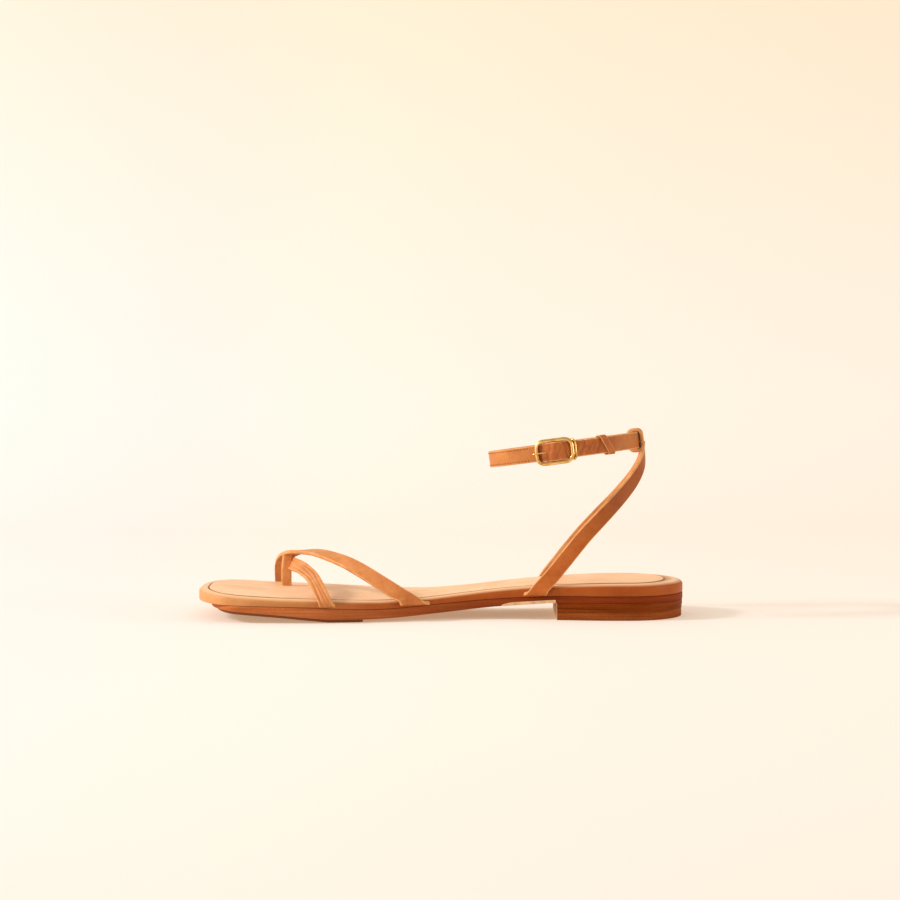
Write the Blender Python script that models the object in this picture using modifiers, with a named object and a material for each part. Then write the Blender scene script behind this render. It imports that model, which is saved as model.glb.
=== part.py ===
"""Flat leather sandal for the left foot: sole, straps and buckle as closed solids.

Sizes are in millimetres and turn into metres where a mesh is made. The toe points to -X, the
outer side to -Y. A station is the distance from the back of the heel towards the toe.
"""
import math

import bmesh
import bpy
import numpy as np
from mathutils import Euler, Matrix, Vector

MM = 0.001


def table(columns, rows):
    """A small table as named columns."""
    return dict(zip(columns.split(), np.array(rows, float).T))


# Sole sizes
LENGTH = 252.0
HALF = LENGTH / 2
HEEL_ROUND = 30.0
HEEL_POWER = 2.0
TOE_ROUND = 24.0
TOE_POWER = 2.5
TIP = 0.15
STATIONS = 40
SLOPE_STEP = 1.0
GAP = 0.3

# Half widths of the sole on its outer and inner side, before the ends are rounded
PLAN = table("station lateral medial", [
    (0.0, 30.0, 30.0),
    (36.0, 30.0, 30.0),
    (62.0, 27.5, 26.5),
    (82.0, 24.5, 22.5),
    (103.0, 22.8, 20.5),
    (125.0, 26.0, 24.0),
    (150.0, 33.5, 33.0),
    (175.0, 39.0, 40.5),
    (200.0, 41.0, 42.5),
    (225.0, 40.5, 42.0),
    (252.0, 36.5, 40.0),
])

# Heights along the sole: top of the footbed, its underside, underside of the outsole
PROFILE = table("station top seam sole", [
    (0.0, 18.8, 12.5, 8.9),
    (35.0, 18.7, 12.4, 8.9),
    (66.5, 17.8, 12.3, 8.9),
    (80.0, 17.0, 11.7, 8.0),
    (95.0, 15.6, 10.8, 6.9),
    (116.0, 13.2, 9.2, 4.8),
    (140.0, 11.1, 7.4, 2.7),
    (158.0, 10.7, 6.6, 1.7),
    (166.0, 10.9, 6.7, 1.6),
    (182.0, 11.5, 7.4, 1.6),
    (190.0, 11.8, 7.9, 2.3),
    (208.0, 12.4, 8.3, 4.0),
    (223.0, 13.2, 8.7, 5.2),
    (241.0, 14.6, 9.1, 6.6),
    (252.0, 15.6, 9.3, 7.2),
])

# Edges of the sole layers
FOOTBED_ROLL_WIDE = 4.2
FOOTBED_ROLL_HIGH = 2.2
FOOTBED_STEPS = 4
FOOTBED_CHAMFER = 0.6
OUTSOLE_CHAMFER = 0.8
OUTSOLE_TOE = 6.5
SOCK_THICK = 1.0
SOCK_SIDE = 5.0
SOCK_HEEL = 9.5
SOCK_TOE = 5.0
SOCK_CHAMFER = 0.25
TREAD_START = 166.0
TREAD_INSET = 3.0
TREAD_THICK = 1.3
TREAD_CHAMFER = 0.4

# Heel stack: each layer's top, bottom and how far it stands in from the sole's outline
HEEL_BREAST = 66.5
HEEL_CHAMFER = 0.25
HEEL_STATIONS = 20
HEEL_LAYERS = {
    "heel_lift_upper": dict(top=8.6, bottom=6.2, inset=0.2),
    "heel_lift_lower": dict(top=5.9, bottom=4.3, inset=0.5),
    "heel_top_piece": dict(top=4.0, bottom=0.0, inset=0.8),
}

# Straps
STRAP_THICK = 2.0
STRAP_EDGE = 0.35
STRAP_STEP = 5.0
NEAR = 0.05
BEVEL_ANGLE = 50.0
SIDE_GAP = 0.5
FOLD = 1.6
FOLD_TURNS = (90.0, 60.0, 30.0, 0.0)
TUCK = 4.2
TUCK_LIFT = 0.5
WALL_HOLD = 0.35
POCKET_GROW = 2.0
POCKET_MARGIN = 0.8
INSTEP_WIDTH = 7.5
SMALL_TOE_WIDTH = 7.0
POST_WIDTH = 5.5
POST_THICK = 3.6
SLING_WIDTH = 8.0

# Strap ends that turn under the footbed: where they leave its side and how they lean along it
ENDS = {
    "instep_outer": dict(station=141.5, side=-1, drift=1.2),
    "instep_inner": dict(station=212.4, side=1, drift=0.0),
    "small_toe": dict(station=184.6, side=-1, drift=0.4),
    "sling_outer": dict(station=76.0, side=-1, drift=-0.85),
    "sling_inner": dict(station=70.6, side=1, drift=-0.65),
}

# Free runs of the straps. Lean turns the outer face from upright (0) to a side (90), sweep turns it
# from that side to the back.
STRAP_COLUMNS = "station across height lean sweep"
INSTEP = table(STRAP_COLUMNS, [
    (147.5, -32.3, 14.2, -82.0, 0.0),
    (157.3, -28.8, 19.9, -70.0, 0.0),
    (167.8, -21.5, 25.5, -57.0, 0.0),
    (175.8, -13.5, 28.8, -44.0, 0.0),
    (184.0, -4.0, 30.8, -30.0, 0.0),
    (192.3, 5.0, 32.0, -13.0, 0.0),
    (200.7, 13.0, 31.5, 4.0, 0.0),
    (206.0, 20.0, 29.9, 22.0, 0.0),
    (209.6, 27.5, 27.1, 40.0, 0.0),
    (211.7, 35.0, 23.2, 58.0, 0.0),
    (212.4, 41.0, 18.0, 78.0, 0.0),
])
SMALL_TOE = table(STRAP_COLUMNS, [
    (186.2, -40.0, 13.8, -80.0, 0.0),
    (188.4, -35.5, 17.4, -68.0, 0.0),
    (190.8, -27.5, 20.2, -55.0, 0.0),
    (193.0, -18.5, 21.9, -43.0, -6.0),
    (196.2, -9.0, 23.4, -38.0, -22.0),
    (199.8, 3.0, 24.3, -46.0, -45.0),
    (203.3, 12.0, 24.6, -55.0, -60.0),
    (205.7, 20.9, 24.5, -68.0, -74.0),
])
POST = table("station across height", [
    (208.4, 20.5, 10.3),
    (208.4, 20.5, 20.0),
    (207.6, 20.5, 29.4),
])
SLING = table(STRAP_COLUMNS + " inner_back", [
    (70.1, -26.2, 21.6, -90.0, 0.0, 4.2),
    (60.0, -27.6, 34.3, -90.0, 4.0, 4.3),
    (52.3, -27.4, 43.8, -90.0, 9.0, 4.8),
    (44.6, -25.4, 51.9, -90.0, 17.0, 4.7),
    (34.0, -19.5, 62.8, -90.0, 32.0, 3.6),
    (26.0, -12.0, 72.2, -90.0, 50.0, 2.0),
    (21.8, -6.0, 79.8, -90.0, 70.0, 0.75),
    (20.9, -3.0, 85.0, -90.0, 84.0, 0.15),
    (20.9, -1.1, 89.5, -90.0, 90.0, -0.15),
])

# Ankle ring: its own level frame is tilted up to the heel and down to the inner side
RING_STATION = 61.0
RING_HEIGHT = 86.35
RING_TILT = (-2.9, -7.5, 0.0)
RING_LONG = 37.5
RING_WIDE = 27.7
RING_SAMPLES = 1442
RING_LEAD = 60.0
RING_SWEEP = 540.0
BUCKLE_ANGLE = 100.0
ANKLE_WIDTH = 8.5

# Buckle sizes. Along runs round the ring from the centre bar towards the heel, out is the distance
# outwards from the middle of the strap's inner layer.
BAR_RADIUS = 0.7
BAR_OUT = 1.6
FRAME_RADIUS = 1.0
FRAME_OUT = 4.7
FRAME_LONG = 8.4
FRAME_HIGH = 5.8
FRAME_CORNER = 3.6
CORNER_POINTS = 5
WIRE_SIDES = 2
WELD = 0.01
SECOND_LAYER = STRAP_THICK + GAP

# Ankle strap, first from its turned end round the bar, then its tail through the frame
BUCKLE_END = table("along out skive", [
    (3.4, 2.2, 0.6),
    (1.6, 2.9, 0.6),
    (0.0, 3.2, 0.6),
    (-1.13, 2.73, 0.6),
    (-1.6, 1.6, 0.6),
    (-1.13, 0.47, 0.6),
    (0.0, 0.0, 0.6),
    (3.0, 0.0, 0.8),
    (6.0, 0.0, 1.0),
    (70.0, 0.0, 1.0),
    (130.0, 0.8, 1.0),
    (170.0, 2.0, 1.0),
])
TAIL = table("along out skive", [
    (-16.0, SECOND_LAYER, 1.0),
    (-8.8, SECOND_LAYER, 1.0),
    (-4.5, 3.9, 1.0),
    (0.0, 5.15, 1.0),
    (4.5, 3.9, 1.0),
    (8.8, SECOND_LAYER, 1.0),
    (12.0, SECOND_LAYER, 1.0),
    (29.5, SECOND_LAYER, 1.0),
])
TAIL_SLANT = 1.4

# Prong: a ring on the bar, then the arm through the tail's hole to the frame's front bar
PRONG_RADIUS = 0.5
PRONG_RING = BAR_RADIUS + GAP + PRONG_RADIUS
PRONG_TURNS = np.linspace(-170.0, 90.0, 11)
PRONG_ARM = table("along out", [
    (-1.8, 3.2),
    (-3.4, 4.4),
    (-4.8, 5.75),
    (-6.6, 6.45),
    (-8.6, 6.5),
    (-9.9, 6.45),
])
PRONG_SLOT_RADIUS = 2.45
PRONG_SLOT_HIGH = 1.7
PRONG_SLOT_SIDES = 16
PRONG_HOLE_LONG = 4.0
PRONG_HOLE_ALONG = -3.2
PRONG_HOLE_OUT = 4.8
PRONG_HOLE_DEEP = 4.4

# Keepers round both layers of the strap
KEEPER_ALONG = 26.0
KEEPER_THICK = 0.7
KEEPER_WIDTH = 3.8
KEEPER_LEAN = 0.4
KEEPER_CORNER = 1.3
WIRE_KEEPER_ALONG = 11.4
WIRE_KEEPER_BOW = 2.4
WIRE_KEEPER_RADIUS = 0.6

# Loop of the sling round the ankle strap
LOOP_FRONT = -3.7
LOOP_WIDTH = 10.0
LOOP_THICK = 2.0
LOOP_CORNER = 2.0

# Colour, roughness and metallic of each material
MATERIALS = {
    "sole_leather": ((0.16, 0.07, 0.03), 0.55, 0.0),
    "tread_rubber": ((0.05, 0.03, 0.02), 0.8, 0.0),
    "footbed_leather": ((0.50, 0.25, 0.11), 0.5, 0.0),
    "sock_leather": ((0.58, 0.32, 0.16), 0.5, 0.0),
    "heel_leather": ((0.13, 0.055, 0.025), 0.5, 0.0),
    "heel_rubber": ((0.10, 0.04, 0.02), 0.7, 0.0),
    "strap_leather": ((0.36, 0.14, 0.05), 0.5, 0.0),
    "brass": ((0.75, 0.52, 0.22), 0.25, 1.0),
}


# Tables and outlines
def smooth(xs, ys, x):
    """Monotone cubic through a table's rows, with no overshoot between them."""
    rise = np.diff(ys) / np.diff(xs)
    both = rise[:-1] * rise[1:]
    total = rise[:-1] + rise[1:]
    inner = np.where(both > 0, 2 * both / np.where(total == 0, 1, total), 0)
    slope = np.concatenate((rise[:1], inner, rise[-1:]))
    i = np.clip(np.searchsorted(xs, x, side="right") - 1, 0, len(rise) - 1)
    step = xs[i + 1] - xs[i]
    t = (x - xs[i]) / step
    value = (2 * t**3 - 3 * t**2 + 1) * ys[i] + (3 * t**2 - 2 * t**3) * ys[i + 1]
    return value + step * ((t**3 - 2 * t**2 + t) * slope[i] + (t**3 - t**2) * slope[i + 1])


def profile(column, station):
    return smooth(PROFILE["station"], PROFILE[column], station)


def plan(column, station):
    return smooth(PLAN["station"], PLAN[column], station)


def end_round(gap, radius, power):
    """Share of the full width that is left near a rounded end."""
    u = np.clip((radius - gap) / radius, 0.0, 1.0)
    return (1.0 - u**power) ** (1.0 / power)


def outline(inset, first, last, heel=True, toe=True, count=STATIONS):
    """Stations with both half widths, from the rear end of a layer to its front end."""
    turn = np.linspace(0.0, math.pi, count)
    station = first + (last - first) * (1.0 - np.cos(turn)) / 2
    share = np.ones(count)
    if heel:
        share *= end_round(station - first + TIP, HEEL_ROUND - first, HEEL_POWER)
    if toe:
        share *= end_round(last - station + TIP, TOE_ROUND - (LENGTH - last), TOE_POWER)
    lateral = (plan("lateral", station) - inset) * share
    medial = (plan("medial", station) - inset) * share
    return station, lateral, medial


def full_outline(inset):
    return outline(inset, inset, LENGTH - inset)


def ring(edge, height):
    """Closed loop of points along the lateral side, round the toe and back along the medial side."""
    station, lateral, medial = edge
    x = HALF - station
    z = np.broadcast_to(height, x.shape)
    outer = np.column_stack((x, -lateral, z))
    inner = np.column_stack((x, medial, z))
    return np.vstack((outer, inner[::-1]))


def level(edge, column, lift=0.0):
    """A loop that follows one of the sole's heights."""
    return ring(edge, profile(column, edge[0]) + lift)


# Objects
def material(name):
    found = bpy.data.materials.get(name)
    if found:
        return found
    colour, roughness, metallic = MATERIALS[name]
    made = bpy.data.materials.new(name)
    made.use_nodes = True
    shader = made.node_tree.nodes["Principled BSDF"]
    shader.inputs["Base Color"].default_value = (*colour, 1.0)
    shader.inputs["Roughness"].default_value = roughness
    shader.inputs["Metallic"].default_value = metallic
    return made


def add_object(name, mesh, collection, parent):
    made = bpy.data.objects.new(name, mesh)
    collection.objects.link(made)
    made.parent = parent
    if collection.name == "cutters":
        made.hide_render = True
        made.display_type = "WIRE"
    return made


def add_mesh(name, points, faces, where, slot):
    """A mesh object from points in mm, with its faces turned outwards."""
    mesh = bpy.data.meshes.new(name)
    mesh.from_pydata((np.asarray(points) * MM).tolist(), [], faces)
    work = bmesh.new()
    work.from_mesh(mesh)
    bmesh.ops.recalc_face_normals(work, faces=work.faces)
    work.to_mesh(mesh)
    work.free()
    mesh.materials.append(material(slot))
    return add_object(name, mesh, *where)


def loft(name, rings, where, slot):
    """A closed layer of the sole through rings of equal count, with both ends filled."""
    count = len(rings[0])
    half = count // 2
    faces = []
    for step in range(len(rings) - 1):
        low = step * count
        for i in range(count):
            j = (i + 1) % count
            faces.append((low + i, low + j, low + count + j, low + count + i))
    for base in (0, (len(rings) - 1) * count):
        for i in range(half - 1):
            faces.append((base + i, base + i + 1, base + count - 2 - i, base + count - 1 - i))
    return add_mesh(name, np.vstack(rings), faces, where, slot)


def ribbon(name, points, sides, thick, where, slot, closed=False, skive=None, edge=STRAP_EDGE):
    """A strap: an open strip along points, given its thickness and softened edges."""
    count = len(points)
    verts = np.empty((2 * count, 3))
    verts[0::2] = points - sides
    verts[1::2] = points + sides
    faces = []
    for i in range(count if closed else count - 1):
        j = (i + 1) % count
        faces.append((2 * i, 2 * i + 1, 2 * j + 1, 2 * j))
    made = add_mesh(name, verts, faces, where, slot)
    wall = made.modifiers.new("wall", "SOLIDIFY")
    wall.thickness = thick * MM
    wall.offset = 0.0
    wall.use_even_offset = True
    if skive is not None:
        group = made.vertex_groups.new(name="skive")
        for i, weight in enumerate(np.repeat(skive, 2)):
            group.add([i], float(weight), "REPLACE")
        wall.vertex_group = group.name
    if edge:
        bevel = made.modifiers.new("edge", "BEVEL")
        bevel.width = edge * MM
        bevel.segments = 1
        bevel.limit_method = "ANGLE"
        bevel.angle_limit = math.radians(BEVEL_ANGLE)
    return made


def combine(made, other, operation):
    cut = made.modifiers.new(other.name, "BOOLEAN")
    cut.operation = operation
    cut.object = other
    cut.solver = "EXACT"


def wire(name, points, radius, where, slot, closed=False):
    """A round wire along points, as a mesh."""
    curve = bpy.data.curves.new(name, "CURVE")
    curve.dimensions = "3D"
    curve.bevel_depth = radius * MM
    curve.bevel_resolution = WIRE_SIDES
    curve.use_fill_caps = True
    spline = curve.splines.new("POLY")
    spline.points.add(len(points) - 1)
    spline.use_cyclic_u = closed
    for knot, spot in zip(spline.points, points):
        knot.co = (*(np.asarray(spot) * MM), 1.0)
    rod = bpy.data.objects.new(name + "_path", curve)
    mesh = bpy.data.meshes.new_from_object(rod)
    bpy.data.objects.remove(rod)
    mesh.name = name
    work = bmesh.new()
    work.from_mesh(mesh)
    bmesh.ops.remove_doubles(work, verts=work.verts, dist=WELD * MM)
    bmesh.ops.recalc_face_normals(work, faces=work.faces)
    work.to_mesh(mesh)
    work.free()
    mesh.materials.clear()
    mesh.materials.append(material(slot))
    return add_object(name, mesh, *where)


def add_cylinder(name, radius, depth, sides, where):
    """An upright cylinder about its own origin."""
    made = bpy.data.meshes.new(name)
    work = bmesh.new()
    bmesh.ops.create_cone(work, cap_ends=True, segments=sides, radius1=radius * MM, radius2=radius * MM,
                          depth=depth * MM)
    work.to_mesh(made)
    work.free()
    return add_object(name, made, *where)


def add_box(name, size, where):
    """A box about its own origin."""
    made = bpy.data.meshes.new(name)
    work = bmesh.new()
    bmesh.ops.create_cube(work, size=MM, matrix=Matrix.Diagonal((*size, 1.0)))
    work.to_mesh(made)
    work.free()
    return add_object(name, made, *where)


# Paths of the straps on the sole
def steps_of(run):
    """Places along a path: each of its rows, and even steps between rows that lie far apart."""
    steps = []
    for start, end in zip(run, run[1:]):
        parts = max(1, math.ceil((end - start) / STRAP_STEP))
        steps.append(np.linspace(start, end, parts, endpoint=False))
    return np.concatenate(steps + [run[-1:]])


def read(columns, run, at):
    """Columns of a path's rows, smoothed and read at places along its run."""
    return np.column_stack([smooth(run, column, at) for column in columns])


def run_of(points):
    lengths = np.linalg.norm(np.diff(points, axis=0), axis=1)
    return np.concatenate(([0.0], np.cumsum(lengths)))


def rows_of(source):
    """Rows of a free run, which no fold holds."""
    columns = [source[name] for name in STRAP_COLUMNS.split()]
    return np.column_stack(columns + [np.zeros(len(columns[0]))])


def mirrored(source):
    """The rows of a free run on the other side of the foot."""
    return rows_of(dict(source, across=-source["across"], lean=-source["lean"]))


def tuck(station, side, drift, grow=0.0):
    """Rows of a strap end from its hidden tip, round the footbed's lower edge and up its side."""
    column = "lateral" if side < 0 else "medial"
    fold = FOLD + grow / 2
    reach = SIDE_GAP + STRAP_THICK / 2 + grow / 2
    low = TUCK_LIFT + STRAP_THICK / 2 - grow / 2
    flat = reach - fold + TUCK
    wall = float(profile("top", station) - profile("seam", station))
    bends = [(-drift * (FOLD * math.pi / 2 + flat), -TUCK, low, 180.0)]
    for turn in FOLD_TURNS:
        angle = math.radians(turn)
        beyond = reach - fold + fold * math.cos(angle)
        bends.append((-drift * FOLD * angle, beyond, low + fold - fold * math.sin(angle), 90.0 + turn))
    rise = wall - low - fold
    if rise > STRAP_THICK / 2:
        bends.append((drift * rise, reach, wall, 90.0))
    hold = np.where(np.arange(len(bends)) > len(FOLD_TURNS), WALL_HOLD, 1.0)
    rows = []
    for (shift, beyond, lift, lean), held in zip(bends, hold):
        spot = station + shift
        edge = float(plan(column, spot))
        slope = float(plan(column, spot + SLOPE_STEP) - plan(column, spot - SLOPE_STEP)) / (2 * SLOPE_STEP)
        rows.append((spot, side * (edge + beyond), float(profile("seam", spot)) + lift, side * lean,
                     math.degrees(math.atan(slope)), held))
    return np.array(rows)


def strap_path(rows, width):
    """Middle points of a strap and half its width sideways, from its rows.

    Where a fold holds the strap, its width is laid off along the footbed's edge.
    """
    station, across, height, lean, sweep, hold = rows.T
    spots = np.column_stack((HALF - station, across, height))
    run = run_of(spots)
    at = steps_of(run)
    points = read(spots.T, run, at)
    lean, sweep, hold = read((np.radians(lean), np.radians(sweep), hold), run, at).T
    face = np.column_stack((np.abs(np.sin(lean)) * np.sin(sweep), np.sin(lean) * np.cos(sweep),
                            np.cos(lean)))
    ahead = read(spots.T, run, at + NEAR) - read(spots.T, run, at - NEAR)
    ahead /= np.linalg.norm(ahead, axis=1, keepdims=True)
    sides = np.cross(ahead, face)
    sides /= np.linalg.norm(sides, axis=1, keepdims=True)
    edge = np.column_stack((np.cos(sweep), -np.sign(lean) * np.sin(sweep), np.zeros(len(at))))
    edge *= np.sign(np.sum(edge * sides, axis=1, keepdims=True))
    rule = sides * (1 - hold[:, None]) + edge * hold[:, None]
    return points, rule / np.sum(rule * sides, axis=1, keepdims=True) * width / 2


def pocket(name, end, width, where):
    """The room that a turned-in strap end needs in the footbed, open at its underside."""
    rows = tuck(**end, grow=POCKET_GROW)[:1 + len(FOLD_TURNS)]
    rows[0, 1] -= end["side"] * GAP
    points, sides = strap_path(rows, width + 2 * POCKET_MARGIN)
    thick = STRAP_THICK + POCKET_GROW + 2 * GAP
    return ribbon(name, points, sides, thick, where, "footbed_leather", edge=None)


# Paths round the ankle
RING_TURN = np.radians(BUCKLE_ANGLE + RING_LEAD - np.linspace(0.0, RING_SWEEP, RING_SAMPLES))
RING_CURVE = np.column_stack((RING_LONG * np.cos(RING_TURN), -RING_WIDE * np.sin(RING_TURN)))
RING_RUN = run_of(RING_CURVE)
RING_RUN = RING_RUN - np.interp(-math.radians(BUCKLE_ANGLE), -RING_TURN, RING_RUN)
RING_ROUND = np.interp(2 * math.pi - math.radians(BUCKLE_ANGLE), -RING_TURN, RING_RUN)


def ring_axes(along):
    """Point on the ring, its direction to the heel and its outward direction, in the ring's plane."""
    turn = np.interp(along, RING_RUN, RING_TURN)
    spot = np.stack((RING_LONG * np.cos(turn), -RING_WIDE * np.sin(turn)), axis=-1)
    ahead = np.stack((RING_LONG * np.sin(turn), RING_WIDE * np.cos(turn)), axis=-1)
    ahead /= np.linalg.norm(ahead, axis=-1, keepdims=True)
    outward = np.stack((ahead[..., 1], -ahead[..., 0]), axis=-1)
    return spot, ahead, outward


def ring_spot(along, out, up):
    """A place given along the ring, outwards from it and up across the strap."""
    along, out, up = np.broadcast_arrays(along, out, up)
    spot, _, outward = ring_axes(along)
    flat = spot + outward * np.asarray(out, float)[..., None]
    return np.concatenate((flat, np.asarray(up, float)[..., None]), axis=-1)


def rounded_box(half_long, half_high, corner):
    """Points round a rectangle with rounded corners."""
    points = []
    for quarter, (u, v) in enumerate(((1, 1), (-1, 1), (-1, -1), (1, -1))):
        for step in np.linspace(0.0, 90.0, CORNER_POINTS):
            angle = math.radians(90.0 * quarter + step)
            points.append((u * (half_long - corner) + corner * math.cos(angle),
                           v * (half_high - corner) + corner * math.sin(angle)))
    return np.array(points)


def band_box(thick, corner):
    """Path round both layers of the ankle strap, as out and up."""
    clear = GAP + thick / 2
    half_out = (STRAP_THICK + SECOND_LAYER) / 2 + clear
    path = rounded_box(half_out, ANKLE_WIDTH / 2 + clear, corner)
    return path + np.array((SECOND_LAYER / 2, 0.0))


# Parts of the sole
def build_sole(where, cutters):
    sole_end = LENGTH - OUTSOLE_TOE
    edge = outline(0.0, 0.0, sole_end)
    pulled = outline(OUTSOLE_CHAMFER, OUTSOLE_CHAMFER, sole_end - OUTSOLE_CHAMFER)
    loft("outsole", [
        level(pulled, "sole"),
        level(edge, "sole", OUTSOLE_CHAMFER),
        level(edge, "seam", -GAP - OUTSOLE_CHAMFER),
        level(pulled, "seam", -GAP),
    ], where, "sole_leather")

    tread_end = sole_end - TREAD_INSET
    tread = outline(TREAD_INSET, TREAD_START, tread_end, heel=False)
    worn = outline(TREAD_INSET + TREAD_CHAMFER, TREAD_START + TREAD_CHAMFER,
                   tread_end - TREAD_CHAMFER, heel=False)
    loft("forefoot_tread", [
        level(worn, "sole", -GAP - TREAD_THICK),
        level(tread, "sole", -GAP - TREAD_THICK + TREAD_CHAMFER),
        level(tread, "sole", -GAP),
    ], where, "tread_rubber")

    rings = [level(full_outline(FOOTBED_CHAMFER), "seam"), level(full_outline(0.0), "seam", FOOTBED_CHAMFER)]
    for angle in np.linspace(0.0, math.pi / 2, FOOTBED_STEPS + 1):
        line = full_outline(FOOTBED_ROLL_WIDE * (1 - math.cos(angle)))
        rings.append(level(line, "top", -FOOTBED_ROLL_HIGH * (1 - math.sin(angle))))
    recess = outline(SOCK_SIDE, SOCK_HEEL, LENGTH - SOCK_TOE)
    rings.append(level(recess, "top"))
    rings.append(level(recess, "top", -SOCK_THICK - GAP))
    footbed = loft("footbed", rings, where, "footbed_leather")

    inner = GAP + SOCK_CHAMFER
    sock = outline(SOCK_SIDE + GAP, SOCK_HEEL + GAP, LENGTH - SOCK_TOE - GAP)
    face = outline(SOCK_SIDE + inner, SOCK_HEEL + inner, LENGTH - SOCK_TOE - inner)
    lining = loft("sock_lining", [
        level(sock, "top", -SOCK_THICK),
        level(sock, "top", -SOCK_CHAMFER),
        level(face, "top"),
    ], where, "sock_leather")

    slot = post_strap("post_slot", GAP, cutters)
    combine(footbed, slot, "DIFFERENCE")
    combine(lining, slot, "DIFFERENCE")
    widths = dict(instep_outer=INSTEP_WIDTH, instep_inner=INSTEP_WIDTH, small_toe=SMALL_TOE_WIDTH,
                  sling_outer=SLING_WIDTH, sling_inner=SLING_WIDTH)
    for name, end in ENDS.items():
        combine(footbed, pocket(name + "_pocket", end, widths[name], cutters), "DIFFERENCE")


def build_heel(where):
    for name, layer in HEEL_LAYERS.items():
        inset = layer["inset"]
        edge = outline(inset, inset, HEEL_BREAST, toe=False, count=HEEL_STATIONS)
        pulled = outline(inset + HEEL_CHAMFER, inset + HEEL_CHAMFER, HEEL_BREAST - HEEL_CHAMFER,
                         toe=False, count=HEEL_STATIONS)
        loft(name, [
            ring(pulled, layer["bottom"]),
            ring(edge, layer["bottom"] + HEEL_CHAMFER),
            ring(edge, layer["top"] - HEEL_CHAMFER),
            ring(pulled, layer["top"]),
        ], where, "heel_rubber" if name == "heel_top_piece" else "heel_leather")


# Parts of the upper
def post_strap(name, margin, where):
    """The toe post between the first two toes, or with a margin its slot."""
    x, y, z = HALF - POST["station"], POST["across"], POST["height"]
    spots = np.column_stack((x, y, z))
    run = run_of(spots)
    points = read(spots.T, run, steps_of(run))
    points[0, 2] -= margin
    sides = np.zeros_like(points)
    sides[:, 0] = POST_WIDTH / 2 + margin
    return ribbon(name, points, sides, POST_THICK + 2 * margin, where, "strap_leather")


def build_front(where, cutters):
    rows = np.vstack((tuck(**ENDS["instep_outer"]), rows_of(INSTEP), tuck(**ENDS["instep_inner"])[::-1]))
    points, sides = strap_path(rows, INSTEP_WIDTH)
    front = ribbon("front_straps", points, sides, STRAP_THICK, where, "strap_leather")
    rows = np.vstack((tuck(**ENDS["small_toe"]), rows_of(SMALL_TOE)))
    points, sides = strap_path(rows, SMALL_TOE_WIDTH)
    small = ribbon("small_toe_strap", points, sides, STRAP_THICK, cutters, "strap_leather")
    post = post_strap("toe_post", 0.0, cutters)
    combine(front, small, "UNION")
    combine(front, post, "UNION")


def build_sling(where, cutters, frame):
    rows = np.vstack((tuck(**ENDS["sling_outer"]), rows_of(SLING)))
    points, sides = strap_path(rows, SLING_WIDTH)
    sling = ribbon("heel_sling", points, sides, STRAP_THICK, where, "strap_leather")
    free = dict(SLING, station=SLING["station"] - SLING["inner_back"])
    rows = np.vstack((tuck(**ENDS["sling_inner"]), mirrored(free)))
    points, sides = strap_path(rows, SLING_WIDTH)
    inner = ribbon("inner_sling_strap", points, sides, STRAP_THICK, cutters, "strap_leather")

    clear = GAP + LOOP_THICK / 2
    rear = RING_LONG + STRAP_THICK / 2 + clear
    front = RING_LONG + LOOP_FRONT
    path = rounded_box((rear - front) / 2, ANKLE_WIDTH / 2 + clear, LOOP_CORNER)
    points = np.column_stack((path[:, 0] + (rear + front) / 2, np.zeros(len(path)), path[:, 1]))
    points = np.array([frame @ Vector(spot) for spot in points])
    sides = np.tile(frame.to_3x3() @ Vector((0.0, LOOP_WIDTH / 2, 0.0)), (len(points), 1))
    loop = ribbon("sling_loop", points, sides, LOOP_THICK, cutters, "strap_leather", closed=True)
    combine(sling, inner, "UNION")
    combine(sling, loop, "UNION")


def build_ankle(where, cutters):
    along = np.concatenate((BUCKLE_END["along"], TAIL["along"] + RING_ROUND))
    out = np.concatenate((BUCKLE_END["out"], TAIL["out"]))
    skive = np.concatenate((BUCKLE_END["skive"], TAIL["skive"]))
    run = run_of(np.column_stack((along, out)))
    along, out, skive = read((along, out, skive), run, steps_of(run)).T
    points = ring_spot(along, out, 0.0)
    sides = np.zeros_like(points)
    sides[:, 2] = ANKLE_WIDTH / 2
    _, ahead, _ = ring_axes(along[-1])
    sides[-1, :2] = -ahead * TAIL_SLANT
    strap = ribbon("ankle_strap", points, sides, STRAP_THICK, where, "strap_leather", skive=skive)

    slot = add_cylinder("prong_slot", PRONG_SLOT_RADIUS, PRONG_SLOT_HIGH, PRONG_SLOT_SIDES, cutters)
    slot.location = Vector(ring_spot(0.0, BAR_OUT, 0.0)) * MM
    hole = add_box("prong_hole", (PRONG_HOLE_LONG, PRONG_HOLE_DEEP, PRONG_SLOT_HIGH), cutters)
    hole.location = Vector(ring_spot(PRONG_HOLE_ALONG, PRONG_HOLE_OUT, 0.0)) * MM
    _, ahead, _ = ring_axes(PRONG_HOLE_ALONG)
    hole.rotation_euler = (0.0, 0.0, math.atan2(ahead[1], ahead[0]))
    combine(strap, slot, "DIFFERENCE")
    combine(strap, hole, "DIFFERENCE")

    path = band_box(KEEPER_THICK, KEEPER_CORNER)
    points = ring_spot(KEEPER_ALONG - KEEPER_LEAN * path[:, 1], path[:, 0], path[:, 1])
    _, ahead, _ = ring_axes(KEEPER_ALONG)
    sides = np.zeros_like(points)
    sides[:, :2] = ahead * KEEPER_WIDTH / 2
    ribbon("strap_keeper", points, sides, KEEPER_THICK, where, "strap_leather", closed=True)


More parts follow.
